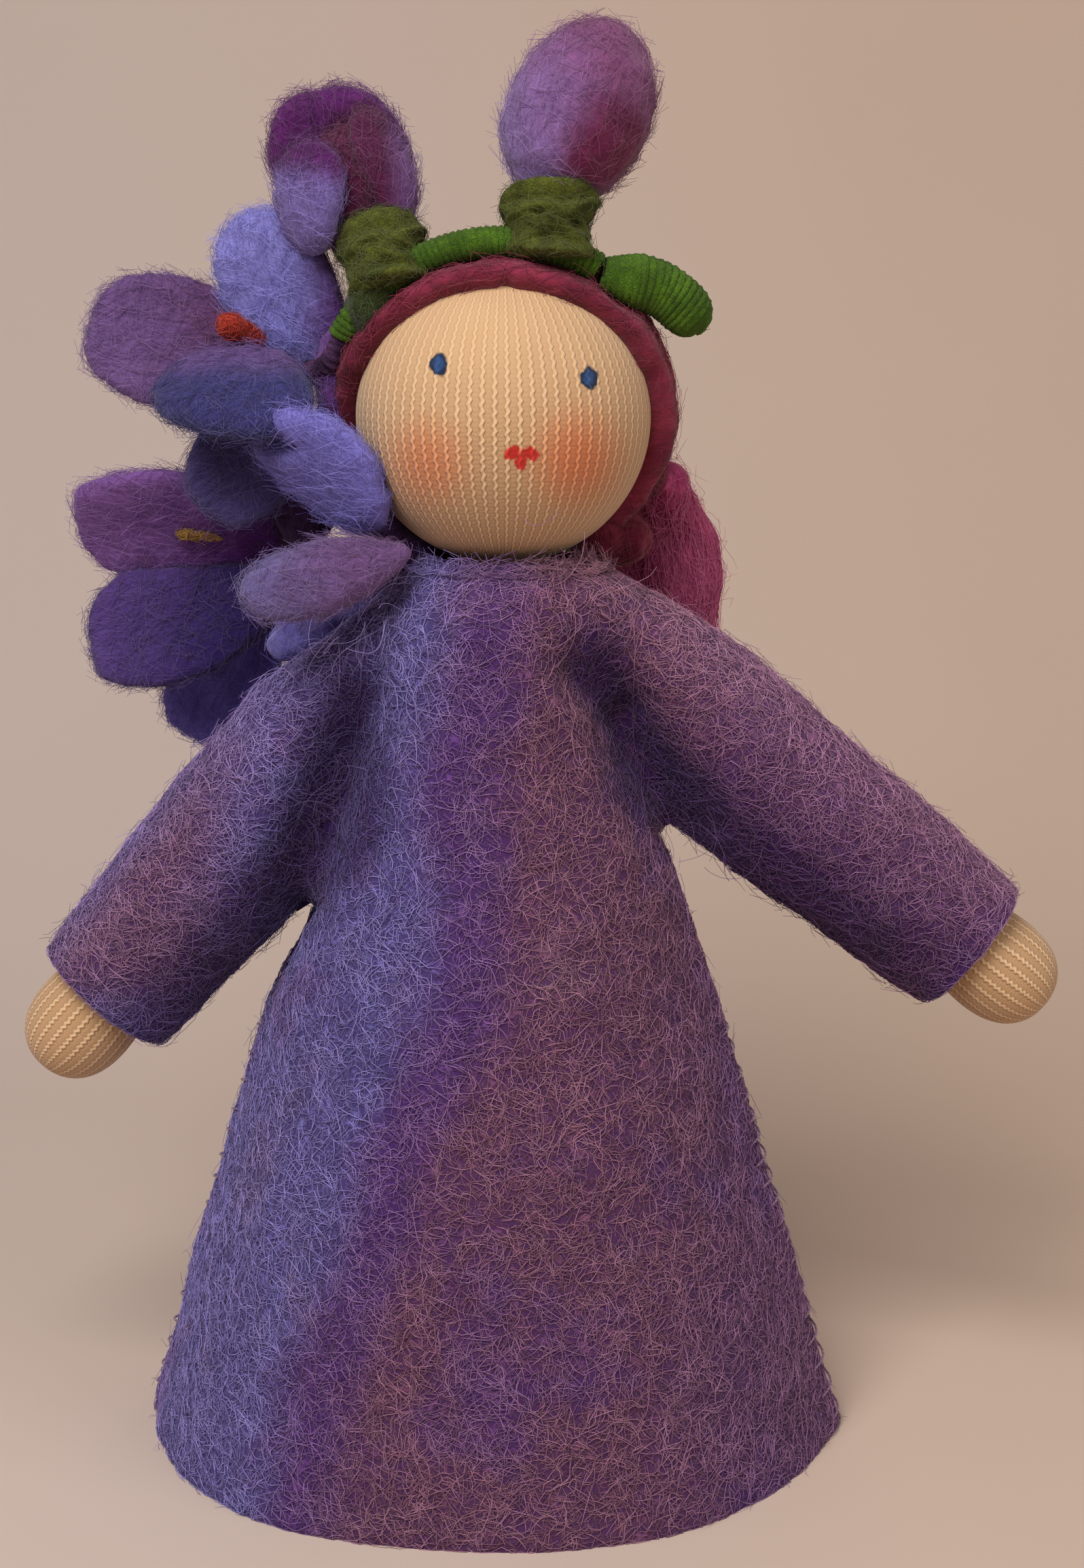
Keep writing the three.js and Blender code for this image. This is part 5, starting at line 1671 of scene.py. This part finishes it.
class DOLL_OT_stage(bpy.types.Operator):
    """Set up the backdrop, the lamps and the camera"""

    bl_idname = "doll.stage"
    bl_label = "Stage"

    def execute(self, context):
        stage = context.scene.doll_stage
        scene = context.scene
        self.backdrop(stage)
        self.lights(scene)
        camera = bpy.data.cameras.new("camera")
        camera.lens = stage.lens
        camera.sensor_width = 36
        camera.clip_start = 0.01
        holder = bpy.data.objects.new("camera", camera)
        holder.location = (0.00017, -0.22184, 0.1056)
        holder.rotation_euler = (math.radians(90) - stage.pitch, 0, 0)
        scene.collection.objects.link(holder)
        scene.camera = holder
        scene.view_settings.view_transform = "Standard"
        return {"FINISHED"}

    def backdrop(self, stage):
        """A sheet of paper that curves up behind the doll, and is clear when seen from behind; its right side is
        painted warmer, a painted tint of warm light from that side.
        """
        bm = bmesh.new()
        bmesh.ops.create_grid(bm, x_segments=2, y_segments=2, size=1)
        for vert in bm.verts:
            forward = -0.9 if vert.co.y < -0.5 else (0.0 if vert.co.y < 0.5 else 0.09)
            vert.co = Vector((vert.co.x * 1.6, forward, 0))
        back = [edge for edge in bm.edges if all(vert.co.y > 0.08 for vert in edge.verts)]
        for number in range(1, 13):
            angle = math.radians(90) * number / 12
            back, verts = extruded(bm, back)
            for vert in verts:
                vert.co.y = 0.09 + 0.16 * math.sin(angle)
                vert.co.z = 0.16 * (1 - math.cos(angle))
        for vert in extruded(bm, back)[1]:
            vert.co.z = 1.4
        bmesh.ops.recalc_face_normals(bm, faces=bm.faces)
        bmesh.ops.reverse_faces(bm, faces=bm.faces)
        paper = make_object(bm, "backdrop")
        material, tree = new_material("backdrop", specular=0.1)
        place = object_place(tree)
        # Painted light: the paper turns warmer towards the right, as if a warm lamp lit that side.
        paper_in_warm_light = [value * ratio for value, ratio in zip(stage.paper, (1.02, 0.96, 0.86))]
        colour = mixed(place.parts()[0].step(-0.09, 0.09), stage.paper, paper_in_warm_light)
        surface_of(material, mixed(place.cloud(30.0, 3.0) * 0.06, colour, srgb(150, 130, 118)))
        seen = Value(tree.nodes["Principled BSDF"].outputs[0])
        clear = Value(node(tree, "BsdfTransparent").outputs[0])
        behind = Value(node(tree, "NewGeometry").outputs["Backfacing"])
        both = node(tree, "MixShader", {0: behind, 1: seen, 2: clear})
        ending = next(one for one in tree.nodes if one.bl_idname == "ShaderNodeOutputMaterial")
        fill(ending, {"Surface": Value(both.outputs[0])})
        dress_in(paper.data, material)

    def lights(self, scene):
        """A faint sky and two lamps that point at the doll's chest."""
        world = bpy.data.worlds.new("studio")
        world.use_nodes = True
        fill(world.node_tree.nodes["Background"], {"Color": (0.96, 0.97, 1.0), "Strength": 0.22})
        scene.world = world
        for name, place, size, energy, tint in (
            ("key_lamp", (-0.12, -0.26, 0.38), 0.24, 1.75, (1.0, 0.98, 0.97)),
            ("fill_lamp", (0.45, -0.32, 0.34), 0.4, 0.85, (1.0, 0.95, 0.9)),
        ):
            lamp = bpy.data.lights.new(name, "AREA")
            lamp.size = size
            lamp.energy = energy
            lamp.color = tint
            stand = linked(name, lamp)
            stand.location = place
            stand.rotation_euler = (Vector((0, 0, 0.06)) - Vector(place)).to_track_quat("-Z", "Y").to_euler()


class DOLL_PT_panel(bpy.types.Panel):
    """Sizes and colours of the doll, and the pieces to make"""

    bl_idname = "DOLL_PT_panel"
    bl_label = "Flower Doll"
    bl_space_type = "VIEW_3D"
    bl_region_type = "UI"
    bl_category = "Flower Doll"

    def draw(self, context):
        scene = context.scene
        for label, settings in (
            ("Felt", scene.doll_felt),
            ("Head", scene.doll_head),
            ("Hair", scene.doll_hair),
            ("Wreath", scene.doll_wreath),
            ("Stage", scene.doll_stage),
        ):
            box = self.layout.box()
            box.label(text=label)
            for name in settings.__annotations__:
                box.prop(settings, name)
        for operator in OPERATORS:
            self.layout.operator(operator.bl_idname)


GROUPS = {
    "doll_felt": DollFeltSettings,
    "doll_head": DollHeadSettings,
    "doll_hair": DollHairSettings,
    "doll_wreath": DollWreathSettings,
    "doll_stage": DollStageSettings,
}
OPERATORS = (
    DOLL_OT_stage,
    DOLL_OT_garment,
    DOLL_OT_head,
    DOLL_OT_hair,
    DOLL_OT_wreath,
    DOLL_OT_flowers,
    DOLL_OT_insides,
)


def register():
    for kind in (*GROUPS.values(), *OPERATORS, DOLL_PT_panel):
        bpy.utils.register_class(kind)
    for name, kind in GROUPS.items():
        setattr(bpy.types.Scene, name, PointerProperty(type=kind))


def unregister():
    for name in GROUPS:
        delattr(bpy.types.Scene, name)
    for kind in reversed((*GROUPS.values(), *OPERATORS, DOLL_PT_panel)):
        bpy.utils.unregister_class(kind)


def main():
    register()
    for operator in OPERATORS:
        getattr(bpy.ops.doll, operator.bl_idname.split(".")[1])()


if __name__ == "__main__":
    main()
